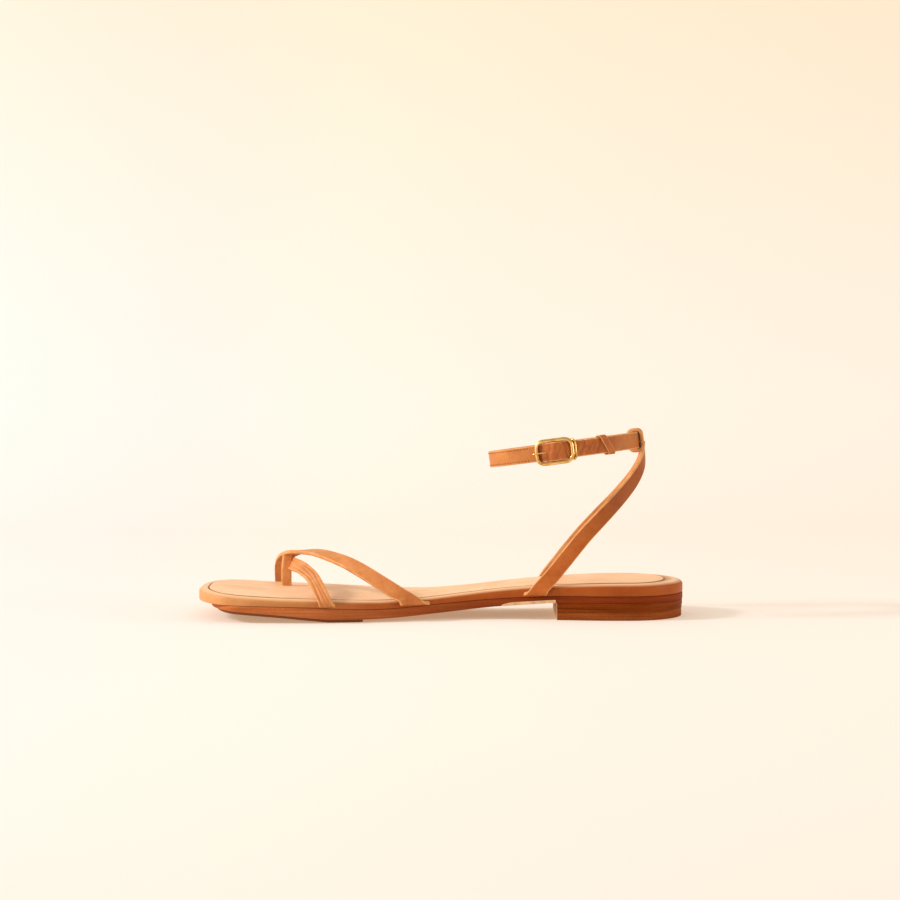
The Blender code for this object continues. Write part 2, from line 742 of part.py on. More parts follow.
def build_buckle(where, cutters):
    box = rounded_box(FRAME_LONG, FRAME_HIGH, FRAME_CORNER)
    frame = wire("buckle_frame", ring_spot(box[:, 0], FRAME_OUT, box[:, 1]), FRAME_RADIUS, where, "brass",
                 closed=True)
    drop = table("out up", [
        (FRAME_OUT, FRAME_HIGH),
        ((FRAME_OUT + BAR_OUT) / 2, FRAME_HIGH - GAP),
        (BAR_OUT, FRAME_HIGH - BAR_RADIUS - GAP),
    ])
    out = np.concatenate((drop["out"], drop["out"][::-1]))
    up = np.concatenate((drop["up"], -drop["up"][::-1]))
    bar = wire("centre_bar", ring_spot(0.0, out, up), BAR_RADIUS, cutters, "brass")
    combine(frame, bar, "UNION")

    turns = np.radians(PRONG_TURNS)
    along = np.concatenate((PRONG_RING * np.cos(turns), PRONG_ARM["along"]))
    out = np.concatenate((BAR_OUT + PRONG_RING * np.sin(turns), PRONG_ARM["out"]))
    wire("buckle_prong", ring_spot(along, out, 0.0), PRONG_RADIUS, where, "brass")

    path = band_box(2 * WIRE_KEEPER_RADIUS, KEEPER_CORNER)
    high = path[:, 1].max()
    along = WIRE_KEEPER_ALONG - WIRE_KEEPER_BOW * (path[:, 1] / high) ** 2
    wire("buckle_keeper", ring_spot(along, path[:, 0], path[:, 1]), WIRE_KEEPER_RADIUS, where, "brass",
         closed=True)


def stand_on_origin(root, parts):
    """Move the whole sandal so that its box is centred and stands on the floor plane."""
    view = bpy.context.evaluated_depsgraph_get()
    low, high = np.full(3, np.inf), np.full(3, -np.inf)
    for made in parts.objects:
        ready = made.evaluated_get(view)
        if ready.type != "MESH":
            continue
        flat = np.empty(3 * len(ready.data.vertices))
        ready.data.vertices.foreach_get("co", flat)
        turn = np.array(ready.matrix_world)
        spots = flat.reshape(-1, 3) @ turn[:3, :3].T + turn[:3, 3]
        low, high = np.minimum(low, spots.min(axis=0)), np.maximum(high, spots.max(axis=0))
    root.location = (-(low[0] + high[0]) / 2, -(low[1] + high[1]) / 2, -low[2])


def main():
    for old in list(bpy.data.objects):
        bpy.data.objects.remove(old)
    scene = bpy.context.scene
    parts = bpy.data.collections.new("sandal")
    scene.collection.children.link(parts)
    hidden = bpy.data.collections.new("cutters")
    scene.collection.children.link(hidden)
    root = bpy.data.objects.new("sandal_root", None)
    parts.objects.link(root)
    ankle = bpy.data.objects.new("ankle_ring", None)
    parts.objects.link(ankle)
    ankle.parent = root
    tilt = Euler([math.radians(angle) for angle in RING_TILT])
    centre = Vector((HALF - RING_STATION, 0.0, RING_HEIGHT))
    ankle.location = centre * MM
    ankle.rotation_euler = tilt
    frame = Matrix.Translation(centre) @ tilt.to_matrix().to_4x4()

    build_sole((parts, root), (hidden, root))
    build_heel((parts, root))
    build_front((parts, root), (hidden, root))
    build_sling((parts, root), (hidden, root), frame)
    build_ankle((parts, ankle), (hidden, ankle))
    build_buckle((parts, ankle), (hidden, ankle))
    stand_on_origin(root, parts)


main()
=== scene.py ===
# %% [markdown]
# # A flat leather sandal, dressed over its CAD frame
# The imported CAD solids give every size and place. This lesson rebuilds the leather, the sole layers and
# the buckle over them with finer meshes, then gives each one its own procedural finish. The frame is
# loaded first, because everything else is measured from it.

# %% Load the frame
import math

import bmesh
import bpy
import numpy as np
from mathutils import Euler, Matrix, Vector


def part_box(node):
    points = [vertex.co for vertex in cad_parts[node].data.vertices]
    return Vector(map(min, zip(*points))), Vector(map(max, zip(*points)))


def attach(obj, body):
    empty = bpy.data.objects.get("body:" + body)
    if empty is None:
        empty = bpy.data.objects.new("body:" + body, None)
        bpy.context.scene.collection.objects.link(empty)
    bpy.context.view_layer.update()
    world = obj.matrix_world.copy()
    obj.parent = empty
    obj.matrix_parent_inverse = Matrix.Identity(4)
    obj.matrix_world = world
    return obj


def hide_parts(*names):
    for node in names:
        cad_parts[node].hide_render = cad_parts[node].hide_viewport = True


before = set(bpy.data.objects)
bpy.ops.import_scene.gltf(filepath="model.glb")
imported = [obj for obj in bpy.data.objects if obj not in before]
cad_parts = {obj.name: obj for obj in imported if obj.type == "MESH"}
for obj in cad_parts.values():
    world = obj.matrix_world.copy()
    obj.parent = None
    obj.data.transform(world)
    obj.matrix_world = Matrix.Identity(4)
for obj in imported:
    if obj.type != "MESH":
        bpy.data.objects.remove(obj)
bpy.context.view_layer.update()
MM = 0.001
heel_low, heel_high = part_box("heel_top_piece")
bed_low, bed_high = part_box("footbed")
SHIFT = np.array(((bed_low.x + bed_high.x) / 2, (heel_low.y + heel_high.y) / 2, 0.0)) / MM
print("frame nodes:", len(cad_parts), "shift in mm:", SHIFT.round(2).tolist())

# %% [markdown]
# ## Colours and nodes
# Colours are picked as sRGB hex values, as in any paint program, and Blender's shaders want them linear.
# One small function adds a node, sets its values and links its inputs, so that a material reads as a list
# of what goes into what.


# %% Helpers for materials
def paint(code):
    """Linear RGBA of an sRGB hex value."""
    parts = [int(code[i:i + 2], 16) / 255 for i in (1, 3, 5)]
    return (*[p / 12.92 if p <= 0.04045 else ((p + 0.055) / 1.055) ** 2.4 for p in parts], 1.0)


def add(tree, kind, inputs=None, tones=(), **settings):
    """A node with its settings, its input values or links and, on a colour ramp, its tones by place."""
    node = tree.nodes.new(kind)
    for key, value in settings.items():
        setattr(node, key, value)
    for key, value in (inputs or {}).items():
        if isinstance(value, bpy.types.NodeSocket):
            tree.links.new(value, node.inputs[key])
        else:
            node.inputs[key].default_value = value
    for spot, _ in tones[1:-1]:
        node.color_ramp.elements.new(spot)
    for i, (spot, code) in enumerate(tones):
        node.color_ramp.elements[i].position = spot
        node.color_ramp.elements[i].color = paint(code)
    return node


def start(name, **sockets):
    """A new material with its Principled shader, whose even values are set on its own sockets."""
    made = bpy.data.materials.new(name)
    made.use_nodes = True
    shader = made.node_tree.nodes["Principled BSDF"]
    for key, value in sockets.items():
        shader.inputs[key.replace("_", " ")].default_value = value
    return made, made.node_tree, shader


def cells(size):
    """Scale of a pattern whose cells measure that many millimetres, in object space."""
    return 1.0 / (size * MM)


print("white is", paint("#FFFFFF"))

# %% [markdown]
# ## Tan leather
# The straps, the footbed's wrap and the sock are smooth calf leather, dyed tan and finished with a thin wax.
# The eye sees three things: slow mottling where the dye took differently, a fine pebbled grain, and a satin
# gloss that breaks up over the grain. The real grain is about 0.4 mm, which is under a pixel here, so it is
# drawn at twice that. Noise and Voronoi in object space need no unwrapping and have no seams. A tint along
# the sole paints shade into some of these leathers, darker towards the heel. On the footbed and the sock, a
# point attribute named rim says where a pale highlight is painted on the rolled top, where fine pebbles were
# pressed in and where a fine dark line of painted shade marks the groove at the sock's edge.

# %% Leather finishes
SOLE_SHADE_REACH = (-115.0, 60.0)
PORE_RATIO = 1.7
PEBBLE_SIZE, PEBBLE_TONE = 0.5, "#B8743E"
GROOVE_SHADE_TONE = "#965E30"


def shaded_along(tree, place, colour, tint, reach=SOLE_SHADE_REACH):
    """A colour with painted shade: a tint deepens it between two places, in mm from the sole's middle towards
    the heel.
    """
    apart = add(tree, "ShaderNodeSeparateXYZ", {"Vector": place})
    share = add(tree, "ShaderNodeMapRange", {"Value": apart.outputs["X"], "From Min": reach[0] * MM,
                                             "From Max": reach[1] * MM}, interpolation_type="SMOOTHSTEP")
    painted_shade_tint = add(tree, "ShaderNodeMixRGB", {"Fac": share.outputs["Result"], "Color1": (1, 1, 1, 1),
                                         "Color2": paint(tint)})
    painted_shade_colour = add(tree, "ShaderNodeMixRGB", {"Fac": 1.0, "Color1": colour, "Color2": painted_shade_tint.outputs["Color"]},
               blend_type="MULTIPLY")
    return painted_shade_colour.outputs["Color"]


def leather(name, deep, mid, pale, heel="#FFFFFF", reach=SOLE_SHADE_REACH, rim=None, mottle=11.0, grain=0.8,
            relief=0.10, roughness=0.46, shine=0.25):
    """Wax-finished calf leather, from its deep, middle and pale tone, its painted shade towards the heel and
    its painted highlight on the rim.
    """
    made, tree, shader = start(name, IOR=1.5, Specular_IOR_Level=shine)
    place = add(tree, "ShaderNodeTexCoord").outputs["Object"]
    cloud = add(tree, "ShaderNodeTexNoise", {"Vector": place, "Scale": cells(mottle), "Detail": 5.0,
                                             "Roughness": 0.62})
    pebble = add(tree, "ShaderNodeTexVoronoi", {"Vector": place, "Scale": cells(grain), "Randomness": 1.0})
    pores = add(tree, "ShaderNodeTexNoise", {"Vector": place, "Scale": cells(grain * PORE_RATIO),
                                             "Detail": 3.0})
    tone = add(tree, "ShaderNodeMix", {"Factor": 0.22, "A": cloud.outputs["Fac"], "B": pores.outputs["Fac"]})
    ramp = add(tree, "ShaderNodeValToRGB", {"Fac": tone.outputs["Result"]},
               tones=((0.33, deep), (0.5, mid), (0.70, pale)))
    colour = shaded_along(tree, place, ramp.outputs["Color"], heel, reach)
    height = add(tree, "ShaderNodeMath", {0: pebble.outputs["Distance"], 1: pores.outputs["Fac"]},
                 operation="ADD")
    if rim:
        # The rim attribute holds shares of painted highlight, pebbles and painted groove shade.
        painted_light_rim_shares = add(tree, "ShaderNodeAttribute", attribute_name="rim").outputs["Vector"]
        share = add(tree, "ShaderNodeSeparateXYZ", {"Vector": painted_light_rim_shares})
        colour = add(tree, "ShaderNodeMixRGB", {"Fac": share.outputs["X"], "Color1": colour,
                                                "Color2": paint(rim)}).outputs["Color"]
        # A fine dark line of painted shade where the groove at the sock's edge lies.
        colour = add(tree, "ShaderNodeMixRGB", {"Fac": share.outputs["Z"], "Color1": colour,
                                                "Color2": paint(GROOVE_SHADE_TONE)}).outputs["Color"]
        dots = add(tree, "ShaderNodeTexVoronoi", {"Vector": place, "Scale": cells(PEBBLE_SIZE),
                                                  "Randomness": 1.0})
        pressed = add(tree, "ShaderNodeMath", {0: share.outputs["Y"], 1: dots.outputs["Distance"]},
                      operation="MULTIPLY")
        colour = add(tree, "ShaderNodeMixRGB", {"Fac": pressed.outputs["Value"], "Color1": colour,
                                                "Color2": paint(PEBBLE_TONE)}).outputs["Color"]
        height = add(tree, "ShaderNodeMath", {0: pressed.outputs["Value"], 1: -1.0,
                                              2: height.outputs["Value"]}, operation="MULTIPLY_ADD")
    tree.links.new(colour, shader.inputs["Base Color"])
    gloss = add(tree, "ShaderNodeMapRange", {"Value": pores.outputs["Fac"], "To Min": roughness - 0.08,
                                             "To Max": roughness + 0.12})
    tree.links.new(gloss.outputs["Result"], shader.inputs["Roughness"])
    bump = add(tree, "ShaderNodeBump", {"Height": height.outputs["Value"], "Strength": 0.55,
                                        "Distance": relief * MM})
    tree.links.new(bump.outputs["Normal"], shader.inputs["Normal"])
    return made


# Each heel tint is painted shade that darkens the leather towards the heel, away from the lamp; on the sling,
# its loop and the ankle strap it darkens their rear, upper parts.
STRAP_GRAIN = leather("tan_calf_strap", "#BE7841", "#CE8A51", "#DA9B62", heel="#E8BC88", relief=0.14,
                      shine=0.2)
SLING_GRAIN = leather("tan_calf_sling", "#AD571E", "#BB6427", "#C67130", heel="#CCC2AA", reach=(62.0, 94.0),
                      relief=0.14, shine=0.2)
ANKLE_GRAIN = leather("tan_calf_ankle_strap", "#AE6832", "#BE783C", "#CC894B", heel="#E8D3B8",
                      reach=(60.0, 82.0), relief=0.14, shine=0.2)
TAIL_GRAIN = leather("creased_tail_leather", "#9C4E1E", "#B06028", "#C27238", relief=0.14, shine=0.25)
STRAP_EDGE = leather("cut_strap_edge", "#C08048", "#D2955A", "#E0A870", mottle=5.0, relief=0.14,
                     roughness=0.6)
STRAP_LINING = leather("strap_lining_leather", "#B97640", "#CB8B55", "#DBA36F", roughness=0.58)
WRAP = leather("footbed_wrap_leather", "#C2844E", "#CE915A", "#DAA06A", heel="#C88E5C",
               reach=(-120.0, -15.0), rim="#E9BE92", mottle=16.0, roughness=0.42, shine=0.12)
SOCK = leather("sock_lining_leather", "#E0AF80", "#EABF94", "#F1CBA5", rim="#EABF94", mottle=22.0,
               relief=0.07, roughness=0.5, shine=0.2)
print("leathers:", [m.name for m in (STRAP_GRAIN, SLING_GRAIN, ANKLE_GRAIN, TAIL_GRAIN, STRAP_EDGE,
                                     STRAP_LINING, WRAP, SOCK)])

# %% [markdown]
# ## Stacked sole leather
# The outsole and the heel are built of cut sole leather. Their edges are ground, dyed brown and burnished, so
# the layers show as fine lines that run level round the heel. A noise that is squeezed in height gives those
# lines, where a drawn stripe would look too even. The heel's wearing piece is rubber that is ground with the
# stack, so it shows the same lines, a little paler and duller. The heel's front face is trimmed last; its
# pale colour is partly a painted highlight, where the lamp catches it. The outsole's edge gets painted shade
# that darkens it towards the heel.

# %% Stacked leather finishes
LINE_SQUEEZE = (0.035, 0.035, 1.0)
FIBRE_SIZE = 0.9


def stacked(name, deep, mid, pale, heel="#FFFFFF", layer=1.3, roughness=0.5):
    """Ground and burnished edge of stacked sole leather, with its level layer lines and painted shade towards
    the heel.
    """
    made, tree, shader = start(name, IOR=1.5, Specular_IOR_Level=0.06)
    place = add(tree, "ShaderNodeTexCoord").outputs["Object"]
    flat = add(tree, "ShaderNodeMapping", {"Vector": place, "Scale": LINE_SQUEEZE})
    lines = add(tree, "ShaderNodeTexNoise", {"Vector": flat.outputs["Vector"], "Scale": cells(layer),
                                             "Detail": 4.0, "Roughness": 0.6})
    fibre = add(tree, "ShaderNodeTexNoise", {"Vector": place, "Scale": cells(FIBRE_SIZE), "Detail": 3.0})
    tone = add(tree, "ShaderNodeMix", {"Factor": 0.25, "A": lines.outputs["Fac"], "B": fibre.outputs["Fac"]})
    ramp = add(tree, "ShaderNodeValToRGB", {"Fac": tone.outputs["Result"]},
               tones=((0.36, deep), (0.5, mid), (0.66, pale)))
    tree.links.new(shaded_along(tree, place, ramp.outputs["Color"], heel), shader.inputs["Base Color"])
    gloss = add(tree, "ShaderNodeMapRange", {"Value": fibre.outputs["Fac"], "To Min": roughness - 0.08,
                                             "To Max": roughness + 0.15})
    tree.links.new(gloss.outputs["Result"], shader.inputs["Roughness"])
    bump = add(tree, "ShaderNodeBump", {"Height": tone.outputs["Result"], "Strength": 0.6,
                                        "Distance": 0.15 * MM})
    tree.links.new(bump.outputs["Normal"], shader.inputs["Normal"])
    return made


# The sole edge's heel tint is painted shade, darker towards the heel.
SOLE_EDGE = stacked("dyed_sole_leather", "#A85A2C", "#B86837", "#C67846", heel="#B08458", layer=1.6)
HEEL_STACK = stacked("stacked_heel_leather", "#6A2A02", "#783304", "#88400F", layer=1.1)
HEEL_WEAR = stacked("heel_rubber", "#7A3810", "#8A4418", "#985224", layer=0.8, roughness=0.62)
# The heel's front face is pale partly as a painted highlight where the lamp catches it.
HEEL_FACE = stacked("trimmed_heel_breast_painted_highlight", "#DDB48A", "#EAC6A0", "#F2D4B2", layer=1.1, roughness=0.6)
print("sole finishes:", [m.name for m in (SOLE_EDGE, HEEL_STACK, HEEL_WEAR, HEEL_FACE)])

# %% [markdown]
# ## Rubber, brass and thread
# The tread is moulded rubber, dull all over, with broad slanted ribs. The buckle is polished brass, which
# keeps the default IOR of a metal and gets a little uneven roughness from handling. The thread is waxed
# linen, whose plies show as small light and dark marks.

# %% Rubber, brass and thread finishes
SPECK_SIZE, HANDLING_SIZE, PLY_SIZE = 1.5, 2.5, 0.5
RIBS = cells(60.0)  # the wave node's diagonal bands then repeat about every 22 mm
TREAD, tree, shader = start("moulded_tread_rubber", IOR=1.52)
place = add(tree, "ShaderNodeTexCoord").outputs["Object"]
speck = add(tree, "ShaderNodeTexNoise", {"Vector": place, "Scale": cells(SPECK_SIZE), "Detail": 4.0})
ribs = add(tree, "ShaderNodeTexWave", {"Vector": place, "Scale": RIBS, "Distortion": 0.0},
           bands_direction="DIAGONAL")
ramp = add(tree, "ShaderNodeValToRGB", {"Fac": speck.outputs["Fac"]},
           tones=((0.0, "#6E3A17"), (1.0, "#8A4E24")))
tree.links.new(ramp.outputs["Color"], shader.inputs["Base Color"])
gloss = add(tree, "ShaderNodeMapRange", {"Value": speck.outputs["Fac"], "To Min": 0.62, "To Max": 0.85})
tree.links.new(gloss.outputs["Result"], shader.inputs["Roughness"])
height = add(tree, "ShaderNodeMix", {"Factor": 0.15, "A": ribs.outputs["Fac"], "B": speck.outputs["Fac"]})
bump = add(tree, "ShaderNodeBump", {"Height": height.outputs["Result"], "Strength": 0.8,
                                    "Distance": 0.4 * MM})
tree.links.new(bump.outputs["Normal"], shader.inputs["Normal"])

BRASS, tree, shader = start("polished_brass", Metallic=1.0)
place = add(tree, "ShaderNodeTexCoord").outputs["Object"]
rub = add(tree, "ShaderNodeTexNoise", {"Vector": place, "Scale": cells(HANDLING_SIZE), "Detail": 6.0})
ramp = add(tree, "ShaderNodeValToRGB", {"Fac": rub.outputs["Fac"]},
           tones=((0.3, "#CF9846"), (0.7, "#F2CA82")))
tree.links.new(ramp.outputs["Color"], shader.inputs["Base Color"])
gloss = add(tree, "ShaderNodeMapRange", {"Value": rub.outputs["Fac"], "To Min": 0.14, "To Max": 0.34})
tree.links.new(gloss.outputs["Result"], shader.inputs["Roughness"])

THREAD, tree, shader = start("waxed_linen_thread", Roughness=0.55)
place = add(tree, "ShaderNodeTexCoord").outputs["Object"]
ply = add(tree, "ShaderNodeTexNoise", {"Vector": place, "Scale": cells(PLY_SIZE), "Detail": 2.0})
ramp = add(tree, "ShaderNodeValToRGB", {"Fac": ply.outputs["Fac"]},
           tones=((0.0, "#6E3512"), (1.0, "#94501F")))
tree.links.new(ramp.outputs["Color"], shader.inputs["Base Color"])
bump = add(tree, "ShaderNodeBump", {"Height": ply.outputs["Fac"], "Strength": 0.5, "Distance": 0.1 * MM})
tree.links.new(bump.outputs["Normal"], shader.inputs["Normal"])
print("other finishes:", [m.name for m in (TREAD, BRASS, THREAD)])

# %% [markdown]
# ## The sole's outline
# A shoemaker works from a plan of half widths and a side profile of heights, both measured at stations from
# the back of the heel. The same short tables as in the CAD source are repeated here and read through a smooth
# curve, so the finer meshes lie exactly where the solids lie.


# %% Tables of the sole
def table(columns, rows):
    """Columns of a table by name."""
    return dict(zip(columns.split(), np.array(rows, float).T))


LENGTH = 252.0
HALF = LENGTH / 2
GAP = 0.3
PLAN = table("station lateral medial", [
    (0, 30, 30), (36, 30, 30), (62, 27.5, 26.5), (82, 24.5, 22.5), (103, 22.8, 20.5), (125, 26, 24),
    (150, 33.5, 33), (175, 39, 40.5), (200, 41, 42.5), (225, 40.5, 42), (252, 36.5, 40),
])
PROFILE = table("station top seam sole", [
    (0, 18.8, 12.5, 8.9), (35, 18.7, 12.4, 8.9), (66.5, 17.8, 12.3, 8.9), (80, 17, 11.7, 8),
    (95, 15.6, 10.8, 6.9), (116, 13.2, 9.2, 4.8), (140, 11.1, 7.4, 2.7), (158, 10.7, 6.6, 1.7),
    (166, 10.9, 6.7, 1.6), (182, 11.5, 7.4, 1.6), (190, 11.8, 7.9, 2.3), (208, 12.4, 8.3, 4),
    (223, 13.2, 8.7, 5.2), (241, 14.6, 9.1, 6.6), (252, 15.6, 9.3, 7.2),
])
HEEL_ROUND, HEEL_POWER = 30.0, 2.0
TOE_ROUND, TOE_POWER = 24.0, 2.5
TIP = 0.15
STATIONS = 150


def smooth(xs, ys, x):
    """Monotone cubic through a table's rows, with no overshoot between them."""
    rise = np.diff(ys) / np.diff(xs)
    both, total = rise[:-1] * rise[1:], rise[:-1] + rise[1:]
    inner = np.where(both > 0, 2 * both / np.where(total == 0, 1, total), 0)
    slope = np.concatenate((rise[:1], inner, rise[-1:]))
    i = np.clip(np.searchsorted(xs, x, side="right") - 1, 0, len(rise) - 1)
    step = xs[i + 1] - xs[i]
    t = (x - xs[i]) / step
    value = (2 * t**3 - 3 * t**2 + 1) * ys[i] + (3 * t**2 - 2 * t**3) * ys[i + 1]
    return value + step * ((t**3 - 2 * t**2 + t) * slope[i] + (t**3 - t**2) * slope[i + 1])


def profile(column, station):
    """Height of the footbed's top, the seam or the sole at a station."""
    return smooth(PROFILE["station"], PROFILE[column], station)


def plan(column, station):
    """Half width of the sole on its outer or inner side at a station."""
    return smooth(PLAN["station"], PLAN[column], station)


def end_round(gap, radius, power):
    """Share of the width that is left near a rounded end, at a gap from its tip."""
    u = np.clip((radius - gap) / radius, 0.0, 1.0)
    return (1.0 - u**power) ** (1.0 / power)


def outline(inset, first, last, heel=True, toe=True, count=STATIONS):
    """Stations with both half widths, from the rear end of a layer to its front end."""
    station = first + (last - first) * (1.0 - np.cos(np.linspace(0.0, math.pi, count))) / 2
    share = np.ones(count)
    if heel:
        share *= end_round(station - first + TIP, HEEL_ROUND - first, HEEL_POWER)
    if toe:
        share *= end_round(last - station + TIP, TOE_ROUND - (LENGTH - last), TOE_POWER)
    return station, (plan("lateral", station) - inset) * share, (plan("medial", station) - inset) * share


def full_outline(inset):
    return outline(inset, inset, LENGTH - inset)


def ring(edge, height):
    """Closed loop along the outer side, round the toe and back along the inner side."""
    station, lateral, medial = edge
    z = np.broadcast_to(height, station.shape)
    outer = np.column_stack((HALF - station, -lateral, z))
    inner = np.column_stack((HALF - station, medial, z))
    return np.vstack((outer, inner[::-1]))


def level(edge, column, lift=0.0):
    """Closed loop along an outline that follows a column of the profile."""
    return ring(edge, profile(column, edge[0]) + lift)


print("sole length", LENGTH, "ball width", PLAN["lateral"].max() + PLAN["medial"].max())

# %% [markdown]
# ## Meshes from loops
# A sole layer is a stack of closed loops with both ends filled by strips from side to side. Small extra loops
# at each corner give it a soft edge that catches the light, and faces turn smooth wherever they meet at less
# than a corner's angle.


# %% Helpers for meshes
def piece(name, points, faces, finishes, which=None, marks=None, crisp=38.0):
    """A smooth-shaded object from points in mm, with its faces turned outwards."""
    mesh = bpy.data.meshes.new(name)
    mesh.from_pydata(((np.asarray(points) + SHIFT) * MM).tolist(), [], faces)
    for finish in finishes:
        mesh.materials.append(finish)
    if which is not None:
        mesh.polygons.foreach_set("material_index", np.asarray(which, np.int32))
    if marks is not None:
        notes = mesh.attributes.new("rim", "FLOAT_VECTOR", "POINT")
        notes.data.foreach_set("vector", np.asarray(marks, np.float32).ravel())
    work = bmesh.new()
    work.from_mesh(mesh)
    bmesh.ops.recalc_face_normals(work, faces=work.faces)
    work.to_mesh(mesh)
    work.free()
    mesh.shade_smooth()
    mesh.set_sharp_from_angle(angle=math.radians(crisp))
    made = bpy.data.objects.new(name, mesh)
    bpy.context.scene.collection.objects.link(made)
    return made


def layer(name, rings, finishes, front=0, marks=None):
    """A closed layer through loops of equal count. Front picks the finish of the face at its toe end."""
    count = len(rings[0])
    faces, which = [], []
    for level_at in range(len(rings) - 1):
        low = level_at * count
        for i in range(count):
            j = (i + 1) % count
            faces.append((low + i, low + j, low + count + j, low + count + i))
            which.append(front if j == count // 2 else 0)
    for base in (0, (len(rings) - 1) * count):
        for i in range(count // 2 - 1):
            faces.append((base + i, base + i + 1, base + count - 2 - i, base + count - 1 - i))
            which.append(0)
    return piece(name, np.vstack(rings), faces, finishes, which, marks)


def dress(made, slot, *nodes):
    """Fix a piece to the sandal and hide the CAD nodes that it stands for. Its slot is not used."""
    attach(made, "root")
    if nodes:
        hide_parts(*nodes)
    print(made.name, len(made.data.polygons), "faces")


def joined(parts):
    """Vertices and faces of several shells as those of one mesh."""
    verts, faces, base = [], [], 0
    for spots, shell, *_ in parts:
        verts.append(spots)
        faces += [tuple(base + i for i in face) for face in shell]
        base += len(spots)
    return np.vstack(verts), faces


print("scene unit:", MM, "m for each mm")

# %% [markdown]
# ## Footbed and sock
# The footbed is an insole board wrapped in tan leather. Its upper edge is rolled, some 4 mm wide and 2 mm
# high, and its top is painted pale as a highlight. A shallow recess holds the paler sock, which stands a
# little proud, and a fine dark line of painted shade marks the groove at its edge, some 5 mm inside the
# footbed's edge. Near the toes the side of the leather is pressed with fine pebbles. A bevel could round the
# edge of a plain slab, but its width would change with the outline, so eight loops make the roll, and the
# sock is a thin layer with a softened rim.

# %% Footbed and sock lining
ROLL_WIDE, ROLL_HIGH, ROLL_LOOPS = 4.2, 2.2, 8
HIGHLIGHT_GAIN, HIGHLIGHT_START = 1.8, 0.8
SOCK_SIDE, SOCK_HEEL, SOCK_TOE = 5.0, 9.5, 5.0
SOCK_THICK, SOCK_PROUD = 1.0, 0.4
WRAP_FOOT = ((0.6, 0.0), (0.15, 0.18), (0.0, 0.6))
RECESS = ((-0.4, 0.0), (-0.1, -0.12), (0.0, -0.4), (0.0, -SOCK_THICK - GAP))
RECESS_HIGHLIGHT, RECESS_GROOVE_SHADE = (0.8, 0.2, 0.0, 0.0), (0.8, 1.0, 1.0, 1.0)
PEBBLES_FIRST, PEBBLES_LAST, PEBBLES_SOFT = 190.0, 228.0, 6.0
PEBBLES_BY_LOOP = (1.0, 1.0, 1.0, 0.8, 0.5, 0.2)
SOCK_RIM = ((GAP, -SOCK_THICK), (GAP, SOCK_PROUD - 0.25), (GAP + 0.1, SOCK_PROUD - 0.1),
            (GAP + 0.4, SOCK_PROUD - 0.02), (GAP + 1.2, SOCK_PROUD))
SOCK_GROOVE_SHADE = (0.8, 0.8, 0.5, 0.0, 0.0)
FADE_FIRST, FADE_LAST, FADE_SOFT, FADE_SHARE = 45.0, 215.0, 25.0, 0.7


def sock_outline(inset):
    """Outline of the sock, drawn in by an inset."""
    return outline(SOCK_SIDE + inset, SOCK_HEEL + inset, LENGTH - SOCK_TOE - inset)


def loops(outline_of, column, steps, lift=0.0):
    """Loops of a layer, from their steps of inset and rise in mm."""
    return [level(outline_of(inset), column, lift + rise) for inset, rise in steps]


def between(station, first, last, soft):
    """Share that is 1 between two stations and fades to 0 towards both."""
    return np.clip(np.minimum(station - first, last - station) / soft, 0.0, 1.0)


def by_loop(values, count):
    """One value for each loop of a layer, with zeros for the loops after the last value."""
    return np.array((*values, *[0.0] * (count - len(values))))[:, None]


def rim_marks(*shares):
    """Rim attribute of a layer's points, from its shares of painted highlight, pebbles and painted groove
    shade.
    """
    return np.stack(np.broadcast_arrays(*shares), axis=-1).reshape(-1, 3)


rings = loops(full_outline, "seam", WRAP_FOOT)
painted_light_rim_shares = [0.0] * len(rings)
# The top of the roll gets a share of painted highlight, pale where it faces the lamp.
for angle in np.linspace(0.0, math.pi / 2, ROLL_LOOPS):
    line = full_outline(ROLL_WIDE * (1 - math.cos(angle)))
    rings.append(level(line, "top", -ROLL_HIGH * (1 - math.sin(angle))))
    painted_light_rim_shares.append(max(0.0, math.sin(angle) * HIGHLIGHT_GAIN - HIGHLIGHT_START))
# The recess loops carry the painted groove shade.
groove_shade = [0.0] * len(rings) + list(RECESS_GROOVE_SHADE)
rings += loops(sock_outline, "top", RECESS)
painted_light_rim_shares += RECESS_HIGHLIGHT
count = len(rings)
pebbled = between(HALF - np.array(rings)[..., 0], PEBBLES_FIRST, PEBBLES_LAST, PEBBLES_SOFT)
marks = rim_marks(by_loop(painted_light_rim_shares, count), pebbled * by_loop(PEBBLES_BY_LOOP, count), by_loop(groove_shade, count))
dress(layer("footbed_wrap", rings, [WRAP], marks=marks), "footbed_leather", "footbed")

rings = loops(sock_outline, "top", SOCK_RIM)
# The sock's rim carries the painted groove shade, fainter along the middle of the sole.
shown = 1.0 - FADE_SHARE * between(HALF - rings[0][:, 0], FADE_FIRST, FADE_LAST, FADE_SOFT)
marks = rim_marks(0.0, 0.0, by_loop(SOCK_GROOVE_SHADE, len(rings)) * shown)
dress(layer("sock", rings, [SOCK], marks=marks), "sock_leather", "sock_lining")

# %% [markdown]
# ## Outsole, tread and heel
# The outsole is one cut of sole leather with a dyed edge, which ends a little behind the footbed's tip. Under
# the ball of the foot a thin rubber tread is glued on, and its rear end is the small step that shows from the
# side. The heel is two leather lifts and a wearing piece. A plan that is pushed up to one height would be
# flat, so the loops of the outsole and the tread follow the side profile. Each layer has a slightly rounded
# edge, so that a fine shadow line shows between layers.

# %% Outsole and tread
OUTSOLE_TOE = 6.5
OUTSOLE_FOOT = ((0.4, 0.0), (0.12, 0.12), (0.0, 0.4))
OUTSOLE_SEAM = ((0.0, -0.45), (0.12, -0.16), (0.4, -0.06))
TREAD_START, TREAD_INSET, TREAD_THICK = 166.0, 3.0, 1.3
TREAD_EDGE = ((0.4, 0.0), (0.1, 0.12), (0.0, 0.4), (0.0, TREAD_THICK))


